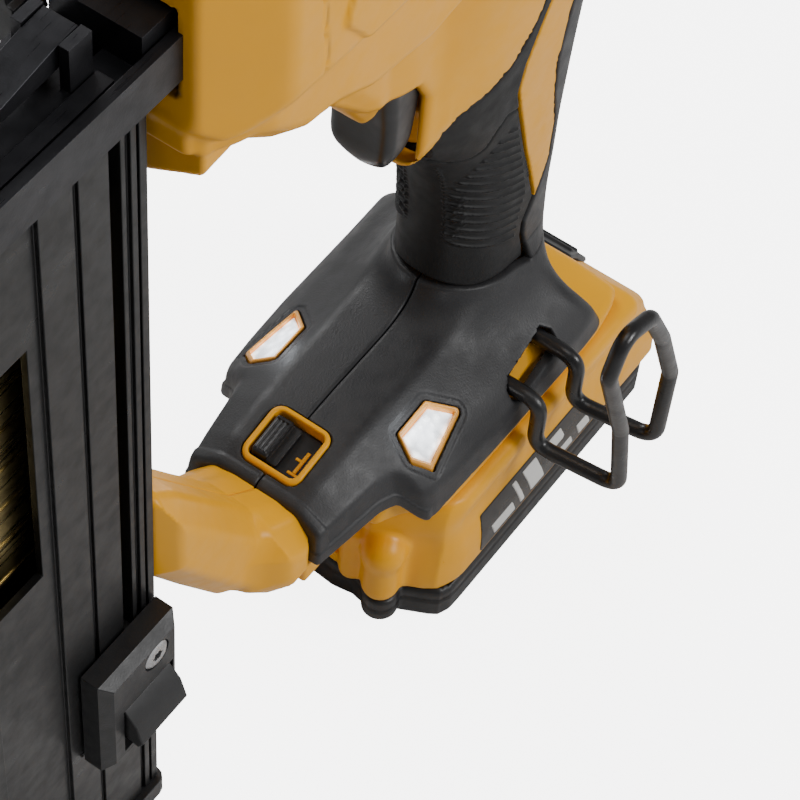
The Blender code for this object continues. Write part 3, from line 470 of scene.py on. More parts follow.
def moulded(name, colour, rough, *, grain, grain_size, blotch, speck=0.0, dust=0.0, wear=0.0,
            wear_colour=None, scratch=0.0, metallic=0.0, coat=0.0, specular=0.5):
    """Plastic or coated metal: fine texture, mottling, scuffs and worn edges. Sizes in mm."""
    material, tree, shader = graph(name)
    geometry = add(tree, "ShaderNodeNewGeometry")
    place = geometry.outputs["Position"]

    def cloud(size, detail, roughness=0.55):
        return noise(tree, place, 1000.0 / size, detail, roughness)

    broad = cloud(26.0, detail=4.0)
    middle = cloud(5.0, detail=3.0)
    fine = cloud(grain_size, detail=2.0)
    factor = remap(tree, broad, span=(0.38, 0.68), to=(0.0, 1.0))
    out = mix(tree, factor, colour, scaled(colour, 1 - 2.2 * blotch))
    if speck:
        dots = cells(tree, place, 1000.0 / 0.75, "F1")
        dots = remap(tree, dots, span=(0.16, 0.05), to=(0.0, speck))
        out = mix(tree, dots, out, [min(1, value * 2.4 + 0.05) for value in colour])
    if dust:
        # grey on faces that look up
        normal = add(tree, "ShaderNodeSeparateXYZ", {0: geometry.outputs["Normal"]})
        factor = combine(tree, "MULTIPLY", normal.outputs[2], middle)
        factor = remap(tree, factor, span=(0.30, 0.75), to=(0.0, dust))
        out = mix(tree, factor, out, (0.30, 0.29, 0.27))
    if wear:
        # broken patches along sharp edges
        edge = remap(tree, geometry.outputs["Pointiness"], span=(0.53, 0.60), to=(0.0, 1.0))
        patches = cloud(2.2, detail=4.0, roughness=0.7)
        patches = remap(tree, patches, span=(0.42, 0.62), to=(0.0, wear))
        out = mix(tree, combine(tree, "MULTIPLY", edge, patches), out, wear_colour)
    rough_range = (max(0.02, rough - 0.07), min(1, rough + 0.08))
    roughness = remap(tree, middle, span=(0.3, 0.7), to=rough_range)
    if scratch:
        # glossier streaks along X
        lines = noise(tree, stretched(tree, place, (40.0, 900.0, 90.0)), scale=1.6, detail=2.0)
        lines = remap(tree, lines, span=(0.60, 0.72), to=(0.0, -scratch))
        roughness = combine(tree, "ADD", roughness, lines)
    feed(tree, shader, {"Base Color": out, "Roughness": roughness,
                        "Metallic": metallic, "Specular IOR Level": specular})
    if coat:
        feed(tree, shader, {"Coat Weight": coat, "Coat Roughness": 0.18})
    height = combine(tree, "MULTIPLY", fine, grain)
    wave = combine(tree, "MULTIPLY", broad, 0.10)
    bump(tree, shader, combine(tree, "ADD", height, wave))
    return material


def brushed(name, colour, rough, axis, relief=1.0):
    """Metal with a fine directional finish along an axis."""
    material, tree, shader = graph(name)
    place = position(tree)
    scale = [1400.0, 1400.0, 1400.0]
    scale["XYZ".index(axis)] = 25.0
    lines = noise(tree, stretched(tree, place, tuple(scale)), scale=1.0, detail=3.0)
    cloud = noise(tree, place, scale=60.0, detail=4.0)
    streaks = mix(tree, lines, colour, scaled(colour, 0.72))
    stain = remap(tree, cloud, span=(0.45, 0.75), to=(0.0, 0.45))
    out = mix(tree, stain, streaks, scaled(colour, 0.6))
    roughness = remap(tree, lines, span=(0.3, 0.7), to=(rough - 0.08, rough + 0.12))
    feed(tree, shader, {"Base Color": out, "Roughness": roughness, "Metallic": 1.0})
    bump(tree, shader, combine(tree, "MULTIPLY", lines, 0.02 * relief))
    return material


def lens_material():
    """Glowing lens, brighter at the centres of a cellular pattern."""
    material, tree, shader = graph("led_lens")
    pattern = cells(tree, position(tree), 420.0, "SMOOTH_F1")
    feed(tree, shader, {
        "Base Color": (0.92, 0.95, 1.0, 1),
        "Roughness": 0.08,
        "Emission Color": (0.93, 0.97, 1.0, 1),
        "Emission Strength": remap(tree, pattern, span=(0.15, 0.65), to=(2.4, 0.45)),
    })
    bump(tree, shader, pattern, distance=0.0004, strength=0.8)
    return material


YELLOW = moulded("satin_yellow_plastic", (0.90, 0.405, 0.0), rough=0.38, grain=0.012,
                 grain_size=0.5, blotch=0.02, specular=0.34)
CHARCOAL = moulded("grained_charcoal_plastic", (0.022, 0.022, 0.024), rough=0.50, grain=0.075,
                   grain_size=0.55, blotch=0.10, speck=0.14, wear=0.10,
                   wear_colour=(0.10, 0.10, 0.10), dust=0.03)
RUBBER = moulded("overmoulded_rubber", (0.0095, 0.0095, 0.010), rough=0.58, grain=0.05,
                 grain_size=0.40, blotch=0.12, speck=0.10, dust=0.01, specular=0.34)
BLACK = moulded("smooth_black_plastic", (0.010, 0.010, 0.011), rough=0.36, grain=0.020,
                grain_size=0.4, blotch=0.10)
SATIN_BLACK = moulded("satin_black_plastic", (0.014, 0.014, 0.015), rough=0.44, grain=0.04,
                      grain_size=0.5, blotch=0.12, speck=0.10)
ANODISED = moulded("black_anodised_extrusion", (0.0055, 0.0055, 0.006), rough=0.36, grain=0.012,
                   grain_size=0.35, blotch=0.08, scratch=0.08, specular=0.34)
WIRE = moulded("black_coated_wire", (0.013, 0.013, 0.014), rough=0.33, grain=0.05,
               grain_size=0.9, blotch=0.2, wear=0.3, wear_colour=(0.12, 0.12, 0.12), specular=0.6)
OXIDE = moulded("black_oxide_steel", (0.030, 0.030, 0.034), rough=0.36, grain=0.02,
                grain_size=0.5, blotch=0.12, metallic=0.7, scratch=0.12)
AMBER = moulded("amber_bezel_plastic", (0.95, 0.42, 0.06), rough=0.30, grain=0.01,
                grain_size=0.5, blotch=0.04, coat=0.3)
STEEL_X = brushed("bare_steel_x", (0.60, 0.60, 0.61), rough=0.30, axis="X")
STEEL_Y = brushed("turned_steel_y", (0.60, 0.60, 0.61), rough=0.28, axis="Y")
STEEL_Z = brushed("bare_steel_z", (0.60, 0.60, 0.61), rough=0.30, axis="Z")
CAST = moulded("cast_aluminium", (0.55, 0.56, 0.57), rough=0.42, grain=0.10,
               grain_size=0.8, blotch=0.10, metallic=1.0)
SPRING = brushed("spring_wire", (0.45, 0.46, 0.48), rough=0.26, axis="Z")
COPPER = brushed("copper_winding", (0.70, 0.30, 0.12), rough=0.34, axis="Y", relief=6.0)
BOARD = moulded("circuit_board", (0.012, 0.10, 0.035), rough=0.42, grain=0.03,
                grain_size=1.5, blotch=0.2)
CELL = moulded("cell_sleeve", (0.03, 0.13, 0.30), rough=0.30, grain=0.005,
               grain_size=1.0, blotch=0.08, coat=0.3)
BRASS = brushed("coated_nail_wire", (0.60, 0.47, 0.20), rough=0.30, axis="X")
LABEL_BLACK = moulded("label_black", (0.010, 0.010, 0.010), rough=0.30, grain=0.006,
                      grain_size=0.5, blotch=0.05)
LABEL_LIGHT = moulded("label_light", (0.70, 0.70, 0.68), rough=0.35, grain=0.006,
                      grain_size=0.5, blotch=0.03)
LENS = lens_material()

# ======================================================================================
# Shapes shared by several pieces
# ======================================================================================
# Handle section along Z: (heights, reach from the axis).
HANDLE_FRONT = ((60, 84, 100, 120, 135, 146, 154, 160, 175, 200, 230),
                (21.0, 20.2, 19.6, 20.6, 23.5, 29.0, 36.0, 40.6, 42.0, 44.0, 46.0))
HANDLE_REAR = ((60, 84, 100, 115, 130, 160, 190, 215, 240),
               (24.6, 23.8, 22.8, 23.4, 22.8, 23.6, 25.4, 28.0, 31.0))
HANDLE_HALF = ((60, 84, 105, 130, 150, 175, 200, 230),
               (15.6, 15.2, 15.0, 15.5, 16.2, 17.2, 18.6, 20.5))

# Cover sections along X: x, then (half width, z) of four edges from the crown down.
COVER = [
    (-88.0, (12.6, 74.6), (19.6, 71.0), (20.4, 67.0), (20.6, 60.5)),
    (-80.0, (13.0, 77.6), (20.8, 72.2), (21.8, 67.5), (22.0, 61.2)),
    (-68.0, (13.5, 79.6), (22.3, 73.4), (23.6, 68.0), (24.0, 62.2)),
    (-62.5, (13.5, 80.1), (23.2, 73.0), (25.2, 67.8), (26.0, 61.4)),
    (-58.8, (13.5, 80.3), (26.4, 71.6), (31.0, 65.4), (32.2, 54.4)),
    (-55.5, (13.5, 80.5), (27.2, 71.0), (32.2, 65.0), (33.6, 54.2)),
    (-46.0, (13.7, 80.6), (28.0, 70.6), (33.2, 64.4), (34.2, 55.6)),
    (-30.0, (14.0, 80.8), (29.0, 70.2), (34.0, 64.0), (35.0, 56.6)),
    (0.0, (14.5, 81.4), (29.5, 70.2), (34.0, 64.0), (35.0, 55.8)),
    (13.0, (14.5, 82.0), (29.0, 71.0), (34.0, 64.5), (34.8, 55.6)),
    (26.0, (14.5, 82.4), (28.0, 71.0), (33.0, 64.0), (34.0, 55.4)),
]

# Side outlines, as (x, z).
GRIP_REGION = [
    (-60, 60), (7.2, 60), (7.0, 83), (6.3, 88.5), (4.4, 95), (4.4, 100), (6.6, 104),
    (8.3, 107.4), (-0.4, 133), (-7.6, 155.8), (-9.6, 163), (-8.6, 172), (-4.0, 186),
    (1.0, 198), (3.4, 207), (-2.0, 203), (-5.0, 194), (-9.5, 184), (-15.5, 177.4),
    (-23.5, 173.2), (-31.0, 171.8), (-35.4, 169.2), (-37.0, 164), (-37.6, 158.0),
    (-39.0, 155.6), (-60, 155),
]
STRAP_REGION = [
    (60, 60), (7.6, 60), (7.4, 83), (6.7, 88.5), (4.8, 95), (4.8, 100), (7.0, 103.6),
    (9.0, 107.0), (14.0, 117.7), (13.6, 131), (9.4, 146), (7.4, 160), (9.4, 180),
    (15.0, 200), (22.0, 213), (34, 222), (60, 222),
]
HEAD = [(-134, 306), (-134, 262), (-129, 257.5), (-60, 252), (34, 256), (34, 308), (31, 311),
        (-129, 311)]
HEAD_PANEL = [(-102, 272), (-94, 262), (-52, 262), (-44, 270), (-50, 293), (-96, 293)]
KEEL = [(-131.0, 268), (-131.0, 237.6), (-118, 238.6), (-108, 242.0), (-98, 247), (-98, 268)]
MOTOR_BULGE = [(-134, 264), (-134, 254), (-122, 251.5), (-114, 244.5), (-107, 240), (-97, 238),
               (-84, 231.5), (-62, 228), (-40, 231), (-14, 244), (8, 262)]
COLLAR = [(-14, 155.4), (-40.8, 155.4), (-42.4, 166), (-42, 186), (-46, 193.5), (-53, 195.5),
          (-64, 200), (-75, 211), (-84, 226), (-84, 240), (28, 258), (26, 226), (20, 205),
          (0, 180)]
BELLY = [(-82, 219), (-66, 198.5), (-60, 190), (-54.4, 184), (-54.4, 236), (-82, 236)]
ARM = [(-83.6, 56), (-98, 52), (-113, 64), (-127, 86), (-138.0, 104), (-138.0, 137),
       (-128, 127), (-113, 105), (-99, 85), (-88.6, 74.3), (-83.6, 66)]
ARM_ROOT = [(-84, 53.4), (-100, 53.0), (-107, 62), (-106, 75), (-99.5, 82), (-84, 71.5)]

# Stations as (places, values).
SEAM_HEIGHT = ((-30, -20, -14, -4, 3, 8), (93.5, 92.2, 89.4, 86.8, 85.4, 83.4))
COLLAR_HALF = ((-90, -66, -56, -48, -38, -32), (8.4, 8.8, 10.2, 11.4, 11.8, 14.0))
SKIRT_TOP = ((-70, -61.5, -55.5, -30, 0, 13, 22, 32, 38),
             (60.6, 60.2, 58.2, 56.4, 55.7, 55.5, 55.3, 54.3, 51.6))
SKIRT_HALF = ((-70, -64, -58, -52, -40, 20, 30, 38),
              (21.5, 23.0, 26.2, 33.2, 33.8, 33.8, 32.2, 29.0))
PACK_HALF = ((10, 16, 24, 30, 35, 39, 43, 47, 52),
             (37.4, 37.4, 37.2, 36.4, 35.4, 35.2, 36.0, 36.7, 36.4))


def handle_field(pos, grow=0.0):
    """The grip's swelling section, from the foot up into the head."""
    x, y, z = pos
    front = curve(HANDLE_FRONT, z, 2.0)
    rear = curve(HANDLE_REAR, z, 4.0)
    half = curve(HANDLE_HALF, z, 4.0)
    power = np.where(x < 0, f32(2.35), f32(3.5))
    reach = np.where(x < 0, front, rear)
    ratio = ((np.abs(x) / reach) ** power + (np.abs(y) / half) ** power) ** (1 / power)
    return (ratio - 1) * np.minimum(reach, half) * 0.96 - grow


def cover_edge(x, edge, part, width):
    return curve(([row[0] for row in COVER], [row[edge][part] for row in COVER]), x, width)


def cover_field(pos):
    """Outside of the charcoal cover, with the swept root of the handle."""
    x, y, z = pos
    far = np.abs(y)
    edges = [[cover_edge(x, k, part, 0.7) for part in (0, 1)] for k in (1, 2, 3, 4)]
    cover = z - edges[0][1] - 0.5 * (1 - (far / 15) ** 2)
    for (top_y, top_z), (low_y, low_z) in zip(edges, edges[1:]):
        run, rise = low_y - top_y, low_z - top_z
        length = np.sqrt(run * run + rise * rise)
        facet = (-rise * (far - top_y) + run * (z - top_z)) / length
        cover = meet(cover, facet, 1.0)
    cover = meet(cover, half_space(pos, (-1, 0, 0.10), (-88, 0, 70)), 1.4)
    cover = meet(cover, half_space(pos, (0.90, 0, 0.44), (16.0, 0, 70)), 5.0)
    root = meet(handle_field(pos, 0.2), z - 90, 1.0)
    return join(cover, root, 11.0)


def seam_height(x):
    """Height of the joint between grip and cover around the foot of the handle."""
    return curve(SEAM_HEIGHT, x, 1.5)


def chamfered(pos, outline, corner, half, edge, chamfer, blend):
    """A side outline extruded to both sides of the middle, with chamfered edges."""
    x, y, z = pos
    flat = polygon(x, z, outline, corner)
    body = extrude(flat, y, -half, half, edge)
    return meet(body, (flat + (np.abs(y) - half) + chamfer) * 0.7071, blend)


def head_field(pos):
    x, y, z = pos
    far = np.abs(y)
    head = chamfered(pos, HEAD, 3.0, 27.0, 2.0, 6.5, 1.6)
    bulge = chamfered(pos, MOTOR_BULGE, 1.6, 23.0, 1.6, 4.4, 1.2)
    # both narrow towards the nose
    bulge = meet(bulge, (far - 13 - 0.55 * (x + 136)) * 0.876, 1.2)
    head = meet(head, (far - 16 - 0.62 * (x + 135)) * 0.85, 1.4)
    keel = prism(pos, "Y", KEEL, -16.2, 16.2, 1.2, 1.4)
    # the V-shaped underside follows the four lower points of the keel
    low = np.interp(x, [p[0] for p in KEEL[1:5]], [p[1] for p in KEEL[1:5]]).astype(f32)
    keel = meet(keel, (low + 0.565 * far - z) * 0.87, 1.2)
    head = join(join(head, bulge, 2.4), keel, 1.6)
    panels = extrude(polygon(x, z, HEAD_PANEL, 3.0), far, 20, 28.1, 0.9)
    return join(head, panels, 0.9)


def handle_yellow(pos):
    """The handle core, and the collar with its belly ahead of the trigger."""
    x, y, z = pos
    far = np.abs(y)
    collar = prism(pos, "Y", COLLAR, -12.9, 12.9, 3.2, 2.0)
    belly = prism(pos, "Y", BELLY, -10.4, 10.4, 2.0, 2.0)
    belly = meet(belly, (183.6 + 0.150 * y * y - z) * 0.6, 1.0)
    belly = meet(belly, (polygon(x, z, BELLY, 2.0) + (far - 10.4) + 5.5) * 0.7071, 1.6)
    # below the head the collar takes the rounded section of the handle and narrows to the front
    rounded = handle_field(pos, 0.5) - 14 * step(186, 203, z) - 14 * (1 - step(-38, -33, x))
    collar = meet(collar, rounded, 1.2)
    collar = meet(collar, (156.6 + 0.0070 * far ** 3 - z - 20 * step(-30, -24, x)) * 0.6, 1.2)
    half = curve(COLLAR_HALF, x, 1.5) + 14 * step(212, 234, z)
    collar = meet(collar, far - half, 1.6)
    collar = meet(collar, 0.12 - polygon(x, z, GRIP_REGION), 0.6)
    collar = meet(collar, 0.12 - polygon(x, z, STRAP_REGION), 0.6)
    core = meet(handle_field(pos), 66 - z, 1)
    core = meet(core, z - 250, 4)
    return core, join(collar, belly, 2.5)


def housing_field(pos):
    """Outside of the yellow clamshell."""
    x, y, z = pos
    handle, collar = handle_yellow(pos)
    covered = join(polygon(x, z, GRIP_REGION), polygon(x, z, STRAP_REGION))
    # the shell steps down by the rubber's thickness under the rubber and the strap
    core = meet(handle, np.minimum(0.16 - covered, 30.0))
    core = join(core, handle + GRIP_WALL)
    upper = join(head_field(pos), collar, 4)
    core = meet(core, 76 - z, 0.5)
    return join(upper, core, 2.0)


def arm_field(pos):
    """The arm rising forward from the foot, with its wider root."""
    x, y, z = pos
    arm = chamfered(pos, ARM, 2.4, 12.6, 1.6, 5.6, 1.3)
    root = chamfered(pos, ARM_ROOT, 2.4, 19.4, 1.6, 7.0, 1.3)
    # the root narrows towards the arm in plan
    root = meet(root, (np.abs(y) - 12.4 - 0.72 * (x + 108)) * 0.81, 1.5)
    arm = join(arm, root, 3.5)
    arm = meet(arm, -138.2 - x, 1.0)
    return meet(arm, x + 84.0)


def skirt_field(pos):
    """The yellow band between the cover and the battery."""
    x, y, z = pos
    far = np.abs(y)
    top = curve(SKIRT_TOP, x, 2.0)
    skirt = meet(z - top - 1.6 * step(30, 14, far), 51.0 - z, 0.8)
    skirt = meet(skirt, far - curve(SKIRT_HALF, x, 1.6), 2.4)
    skirt = meet(skirt, -66.5 - x + 3.2 * (z - 51) / 9, 2.0)
    return meet(skirt, x - 37.0, 3.0)


# ======================================================================================
# Yellow clamshell halves
# ======================================================================================
SHELL_WALL = 2.8
GRIP_WALL = 1.9
SCREWS = [(-102, 299), (-58, 300), (24, 300), (24, 264)]  # (x, z)
TRIGGER_RECESS = [(-54.2, 150), (-35.4, 150), (-35.4, 186), (-26.0, 196), (-26.0, 217.5),
                  (-54.2, 220.5)]
# Openings of the upper shell: x, y and z spans, edge radius.
OPENINGS = [
    ((-44, -10), (-5.0, 5.0), (178.6, 216.0), 0.3),  # slot to the switch
    ((-145, -124), (-12.6, 12.6), (269.5, 293.5), 2.0),  # nose window
    ((-66, -34), (-6.0, 6.0), (304, 315), 1.0),  # lever slot
    ((-15.9, -6.1), (-30, 30), (213.7, 222.3), 1.0),  # lock-off window
    ((28, 38), (-22, 22), (270, 300), 2.0),  # tail opening
]
LUG = [(-47, 308), (-44, 314.4), (-38, 314.4), (-35, 308)]
REAR_SLOT = [(-24.6, 268), (-22.0, 268), (-16.0, 286), (-18.6, 286)]
FRONT_SLOT = [(-86, 266.5), (-84, 266.5), (-79.2, 280), (-81.2, 280)]
FOOT_TOP = [(-84.4, 55), (-84.4, 66.6), (-82, 67.6), (-66, 72.4), (15.5, 75.0), (17.0, 55)]
HOOK_BOSS = [(-12.0, 55.2), (-29.3, 55.2), (-29.3, 63.2), (-26.0, 66.9), (-19.8, 71.3),
             (-12.0, 73.0)]  # (y, z)
HOOK_HOLES = ((-18.0, 66.8), (-1.8, 68.6))  # (x, z)


def span(side, near, far):
    """A range of y given as distances towards one side."""
    return tuple(sorted((side * near, side * far)))


def housing_upper(side):
    def field(pos):
        x, y, z = pos
        far = np.abs(y)
        mirrored = (x, side * y, z)
        outer = housing_field(pos)
        shell = skin(outer, SHELL_WALL)
        recess = prism(pos, "Y", TRIGGER_RECESS, -9.2, 9.2)
        recess = meet(recess, (159.4 + 0.0038 * far ** 3 - z) * 0.8)
        shell = cut(shell, recess)
        for opening in OPENINGS:
            shell = cut(shell, box(pos, *opening))
        # lugs on both sides of the lever slot
        shell = join(shell, extrude(polygon(x, z, LUG, 1.0), far, 6.3, 9.2, 0.6), 0.8)
        # through slots ahead of the tail, and 2 mm deep ones further forward
        for k in range(5):
            shell = cut(shell, extrude(polygon(x - 8.0 * k, z, REAR_SLOT, 1.0), far, 20, 30))
        for k in range(4):
            slot = extrude(polygon(x - 9.0 * k, z, FRONT_SLOT, 0.9), far, 20, 30)
            shell = cut(shell, meet(slot, -(outer + 2.0)))
        # panel line around the head
        line = np.abs(half_space(pos, (1, 0, 0.10), (-108, 0, 280))) - 0.30
        shell = cut(shell, meet(meet(line, 262 - z), -(outer + 0.55)))
        for centre in SCREWS:
            shell = cut(shell, cylinder(mirrored, "Y", centre, 3.4, 25.0, 32.0))
            shell = join(shell, cylinder(mirrored, "Y", centre, 2.7, 23.0, 25.9, 0.4))
        return meet(shell, 0.05 - side * y, 0.5)

    return field


def housing_lower(side):
    def field(pos):
        x, y, z = pos
        shell = skin(arm_field(pos), SHELL_WALL)
        foot = box(pos, (-91, -60), (-18.4, 18.4), (52.2, 60.0), 1.0)
        foot = join(skirt_field(pos), foot, 2.0)
        foot = join(foot, prism(pos, "Y", FOOT_TOP, -13.4, 13.4, 1.0))
        foot = cut(foot, box(pos, (-80, 13.5), (-10.4, 10.4), (58, 72.0), 1.0))
        foot = cut(foot, box(pos, (-28.4, 8.4), (-11.0, 11.0), (48, 61), 0.5))
        shell = join(shell, foot)
        if side < 0:
            # boss with two holes for the belt hook
            boss = extrude(polygon(y, z, HOOK_BOSS, 0.8), x, -22.4, 2.6, 0.6)
            shell = join(shell, boss)
            for centre in HOOK_HOLES:
                shell = cut(shell, cylinder(pos, "Y", centre, 2.6, -36, -14.6))
        return meet(shell, 0.05 - side * y, 0.5)

    return field


def vent_screen(y_span):
    return lambda pos: box(pos, (-29, 22), y_span, (264, 290), 0.4)


for side, tag in SIDES:
    low_y, high_y = span(side, -0.8, 36.5)
    parts = [
        (housing_upper(side), (-139.5, low_y, 74), (37, high_y, 316), 1.05),
        (housing_lower(side), (-141, low_y, 49.5), (40, high_y, 139), 0.8),
    ]
    solid(f"housing_shell_{tag}", YELLOW, parts, "tool", f"housing_{tag}")
    low_y, high_y = span(side, 22.4, 23.5)
    parts = [(vent_screen((low_y, high_y)), (-31, low_y - 1, 262), (24, high_y + 1, 292), 0.9)]
    solid(f"vent_screen_{tag}", SATIN_BLACK, parts)

# ======================================================================================
# Charcoal cover over the foot, rubber grip and rear strap
# ======================================================================================
COVER_WALL = 2.2
LED_WINDOW = [(-54.4, 18.6), (-41.6, 18.4), (-34.4, 26.0), (-52.8, 29.8),
              (-56.8, 25.0)]  # (x, distance from the middle)
MODE_WINDOW = rectangle(-83.6, -66.2, -9.2, 9.2)  # (x, y)
MODE_CORNER = 3.6
HOOK_SLOT = [(-18.6, 63.9), (-1.4, 65.7), (1.0, 67.4), (1.1, 69.9), (-0.9, 71.6),
             (-18.2, 69.7), (-20.8, 68.0), (-20.9, 65.5)]
# Line across the top of the grip, and the area with ribs, as (x, z).
GRIP_SEAM = [(-39.5, 161.0), (-30.5, 151.3), (-25.9, 147.9), (-21.3, 147.4), (-17.9, 149.2),
             (-15.6, 154.0), (-12.6, 157.2), (-7.4, 155.6)]
BELOW_SEAM = [(-60, 60), (20, 60), (20, 150), *GRIP_SEAM[::-1], (-60, 165)]
RIBS = [(-7.0, 149.6), (0.1, 125.6), (3.3, 114.2), (1.7, 105.5), (0.7, 97.4), (-17.6, 106.4),
        (-20.4, 112.0), (-21.4, 124), (-20.8, 136), (-18.6, 141.6), (-13.0, 147.6)]
RIB_PITCH = 3.2
DOT_START = (-4.6, 149.0)  # (x, z) of the top of the row of dots
DOT_RUN = (8.3, -30.0)
DOT_PITCH = 1.6
CORNER_DOT_PITCH = 1.7
CORNER_RIB_PITCH = 2.5


def led_window(x, far):
    return polygon(x, far, LED_WINDOW, 1.2)


def cover(side):
    def field(pos):
        x, y, z = pos
        far = np.abs(y)
        low = cover_edge(x, 4, 1, 0.8)
        # raised: the lower edge ahead of the lamps, and the front face
        band = (1 - step(4.0, 5.2, z - low)) * (1 - step(-58, -56, x)) * step(10, 12, far)
        front = 1 - step(-85.6, -84.6, x)
        outer = cover_field(pos) - 0.7 * np.maximum(band, front * 0.6)
        # a narrow recessed frame around the lamp
        lamp = led_window(x, far)
        outer = outer + 0.35 * (1 - step(1.2, 1.9, lamp)) * step(-1, 1, z - 60)
        shell = skin(outer, COVER_WALL)
        shell = meet(shell, low - z, 1.0)
        shell = meet(shell, z - np.where(x < 7.4, seam_height(x), f32(84.0)), 0.7)
        shell = cut(shell, meet(lamp, 50 - z, 0.1))
        shell = cut(shell, prism(pos, "Z", MODE_WINDOW, 60, 95, 0.0, MODE_CORNER))
        if side < 0:
            shell = cut(shell, prism(pos, "Y", HOOK_SLOT, -42, -18, 0.0, 0.8), 0.6)
        # notch at the foot of the front face
        shell = cut(shell, meet(meet(far - 12.9, z - 67.4), x + 80))
        return meet(shell, 0.10 - side * y, 0.7)

    return field


def off_pitch(value, pitch):
    """Offset of a value from the nearest multiple of the pitch."""
    return value - np.round(value / pitch) * pitch


def grip_relief(x, far, z):
    """Height of the ribs, dots and seam over the plain grip."""
    groove = line_distance(x, z, GRIP_SEAM)
    below = polygon(x, z, BELOW_SEAM)
    relief = -0.55 * bump_at(groove, 0.55) - 0.25 * step(0.4, -0.4, below)
    # thin ribs on both sides
    mask = step(0.25, -0.55, polygon(x, z, RIBS)) * step(4.5, 7.0, far)
    phase = (z + 0.5 * x - 127.85) / RIB_PITCH
    offset = (phase - np.round(phase)) * (RIB_PITCH * 0.894)
    relief = relief + 0.62 * mask * bump_at(offset, 0.42)
    # a row of dots behind the rib ends
    run_x, run_z = DOT_RUN
    length = math.hypot(run_x, run_z)
    rel_x, rel_z = x - DOT_START[0], z - DOT_START[1]
    along = rel_x * (run_x / length) + rel_z * (run_z / length)
    across = rel_x * (-run_z / length) + rel_z * (run_x / length)
    dots = np.exp(-((across ** 2 + off_pitch(along, DOT_PITCH) ** 2) / 0.20))
    dots = dots * (along > 0) * (along < 31) * (far > 6)
    # dots and short ribs down the front corners
    front = np.exp(-(((far - 5.9) ** 2 + off_pitch(z, CORNER_DOT_PITCH) ** 2) / 0.22))
    front = front * (x < -8) * (z > 109) * (z < 144.5)
    phase = (z - 0.6 * (far - 5)) / CORNER_RIB_PITCH
    short = bump_at((phase - np.round(phase)) * CORNER_RIB_PITCH, 0.45)
    short = short * step(7.0, 7.8, far) * step(10.6, 9.8, far)
    short = short * (x < -8) * (z > 111.5) * (z < 128)
    return relief + 0.40 * (dots + front) + 0.35 * short


def grip(pos):
    x, y, z = pos
    far = np.abs(y)
    outer = handle_field(pos)
    sleeve = meet(outer - grip_relief(x, far, z), -(outer + GRIP_WALL))
    sleeve = meet(sleeve, polygon(x, z, GRIP_REGION) + 0.05, 1.1)
    sleeve = cut(sleeve, meet(meet(far - 9.4, x + 34.4), 156.8 - z))
    return meet(sleeve, seam_height(x) + 0.12 - z, 0.9)


def strap(pos):
    x, y, z = pos
    layer = skin(join(cover_field(pos), handle_field(pos, 0.2)), 2.0)
    layer = meet(layer, polygon(x, z, STRAP_REGION) + 0.05, 1.1)
    return meet(layer, 83.96 - z)


for side, tag in SIDES:
    low_y, high_y = span(side, -0.8, 37.5)
    parts = [(cover(side), (-91.5, low_y, 53.5), (33, high_y, 94.5), 0.62)]
    solid(f"cover_shell_{tag}", CHARCOAL, parts, "tool", f"foot_cover_{tag}")

solid("grip_sleeve", RUBBER, [(grip, (-46, -21, 80), (12, 21, 210), 0.5)],
      "tool", "handle_grip")
solid("rear_strap", CHARCOAL, [(strap, (3, -21, 82), (36, 21, 224), 0.6)],
      "tool", "back_strap")

# ======================================================================================
# Trigger, lamps, selector
# ======================================================================================
TRIGGER = [(-53.3, 162.6), (-53.0, 172), (-52.8, 182), (-53.4, 194), (-53.2, 206), (-46, 214),
           (-38, 214), (-36.5, 204), (-38.8, 190), (-41.2, 176), (-43.6, 162.6)]
TRIGGER_ARM = [(-48, 203), (-48, 212), (-34, 213), (-31, 209), (-34, 205)]
TRIGGER_HALF = 8.8
MODE_KNOB = rectangle(-80.8, -69.0, -1.0, 6.8)
# Nail symbol: shank, head and a short tick, as (x, y).
NAIL_MARK = [
    rectangle(-72.4, -79.0, -5.9, -4.9),
    rectangle(-79.8, -79.0, -3.7, -7.0),
    rectangle(-75.0, -75.8, -4.9, -3.4),
]


def trigger(pos):
    x, y, z = pos
    blade = prism(pos, "Y", TRIGGER, -TRIGGER_HALF, TRIGGER_HALF, 3.4, 3.4)
    # finger dish, then slopes at the sides and front of the lower end
    blade = cut(blade, ball(pos, (-63.4, 0, 178), 10.9, (1.0, 1.5, 1.9)), 2.0)
    blade = meet(blade, (np.abs(y) - TRIGGER_HALF + (168.5 - z) * 0.85) * 0.76, 4.5)
    blade = meet(blade, (-53.3 - x + (167.5 - z) * 0.75) * 0.8, 4.0)
    blade = join(blade, prism(pos, "Y", TRIGGER_ARM, -5.6, 5.6, 1.0, 1.0), 2.0)
    return cut(blade, cylinder(pos, "Y", (-34, 209), 1.6, -9, 9))


def lamp_bezel(side):
    def field(pos):
        outer = cover_field(pos)
        window = led_window(pos[0], pos[1] * side)
        ring = meet(skin(outer, 3.0, 0.25), window + 0.35, 0.8)
        return cut(ring, meet(window + 1.35, -(outer + 2.0)), 0.5)

    return field


def lamp_lens(side):
    def field(pos):
        window = led_window(pos[0], pos[1] * side)
        return meet(skin(cover_field(pos), 1.9, -0.7), window + 1.5, 0.9)

    return field


def mode_plan(pos):
    return polygon(pos[0], pos[1], MODE_WINDOW, MODE_CORNER)


def mode_ring(pos):
    plan = mode_plan(pos)
    ring = meet(skin(cover_field(pos), 3.6, 0.45), plan + 0.25, 0.8)
    return cut(ring, plan + 1.75, 0.5)


def mode_floor(pos):
    return meet(skin(cover_field(pos), 4.2, -2.6), mode_plan(pos) + 1.85)


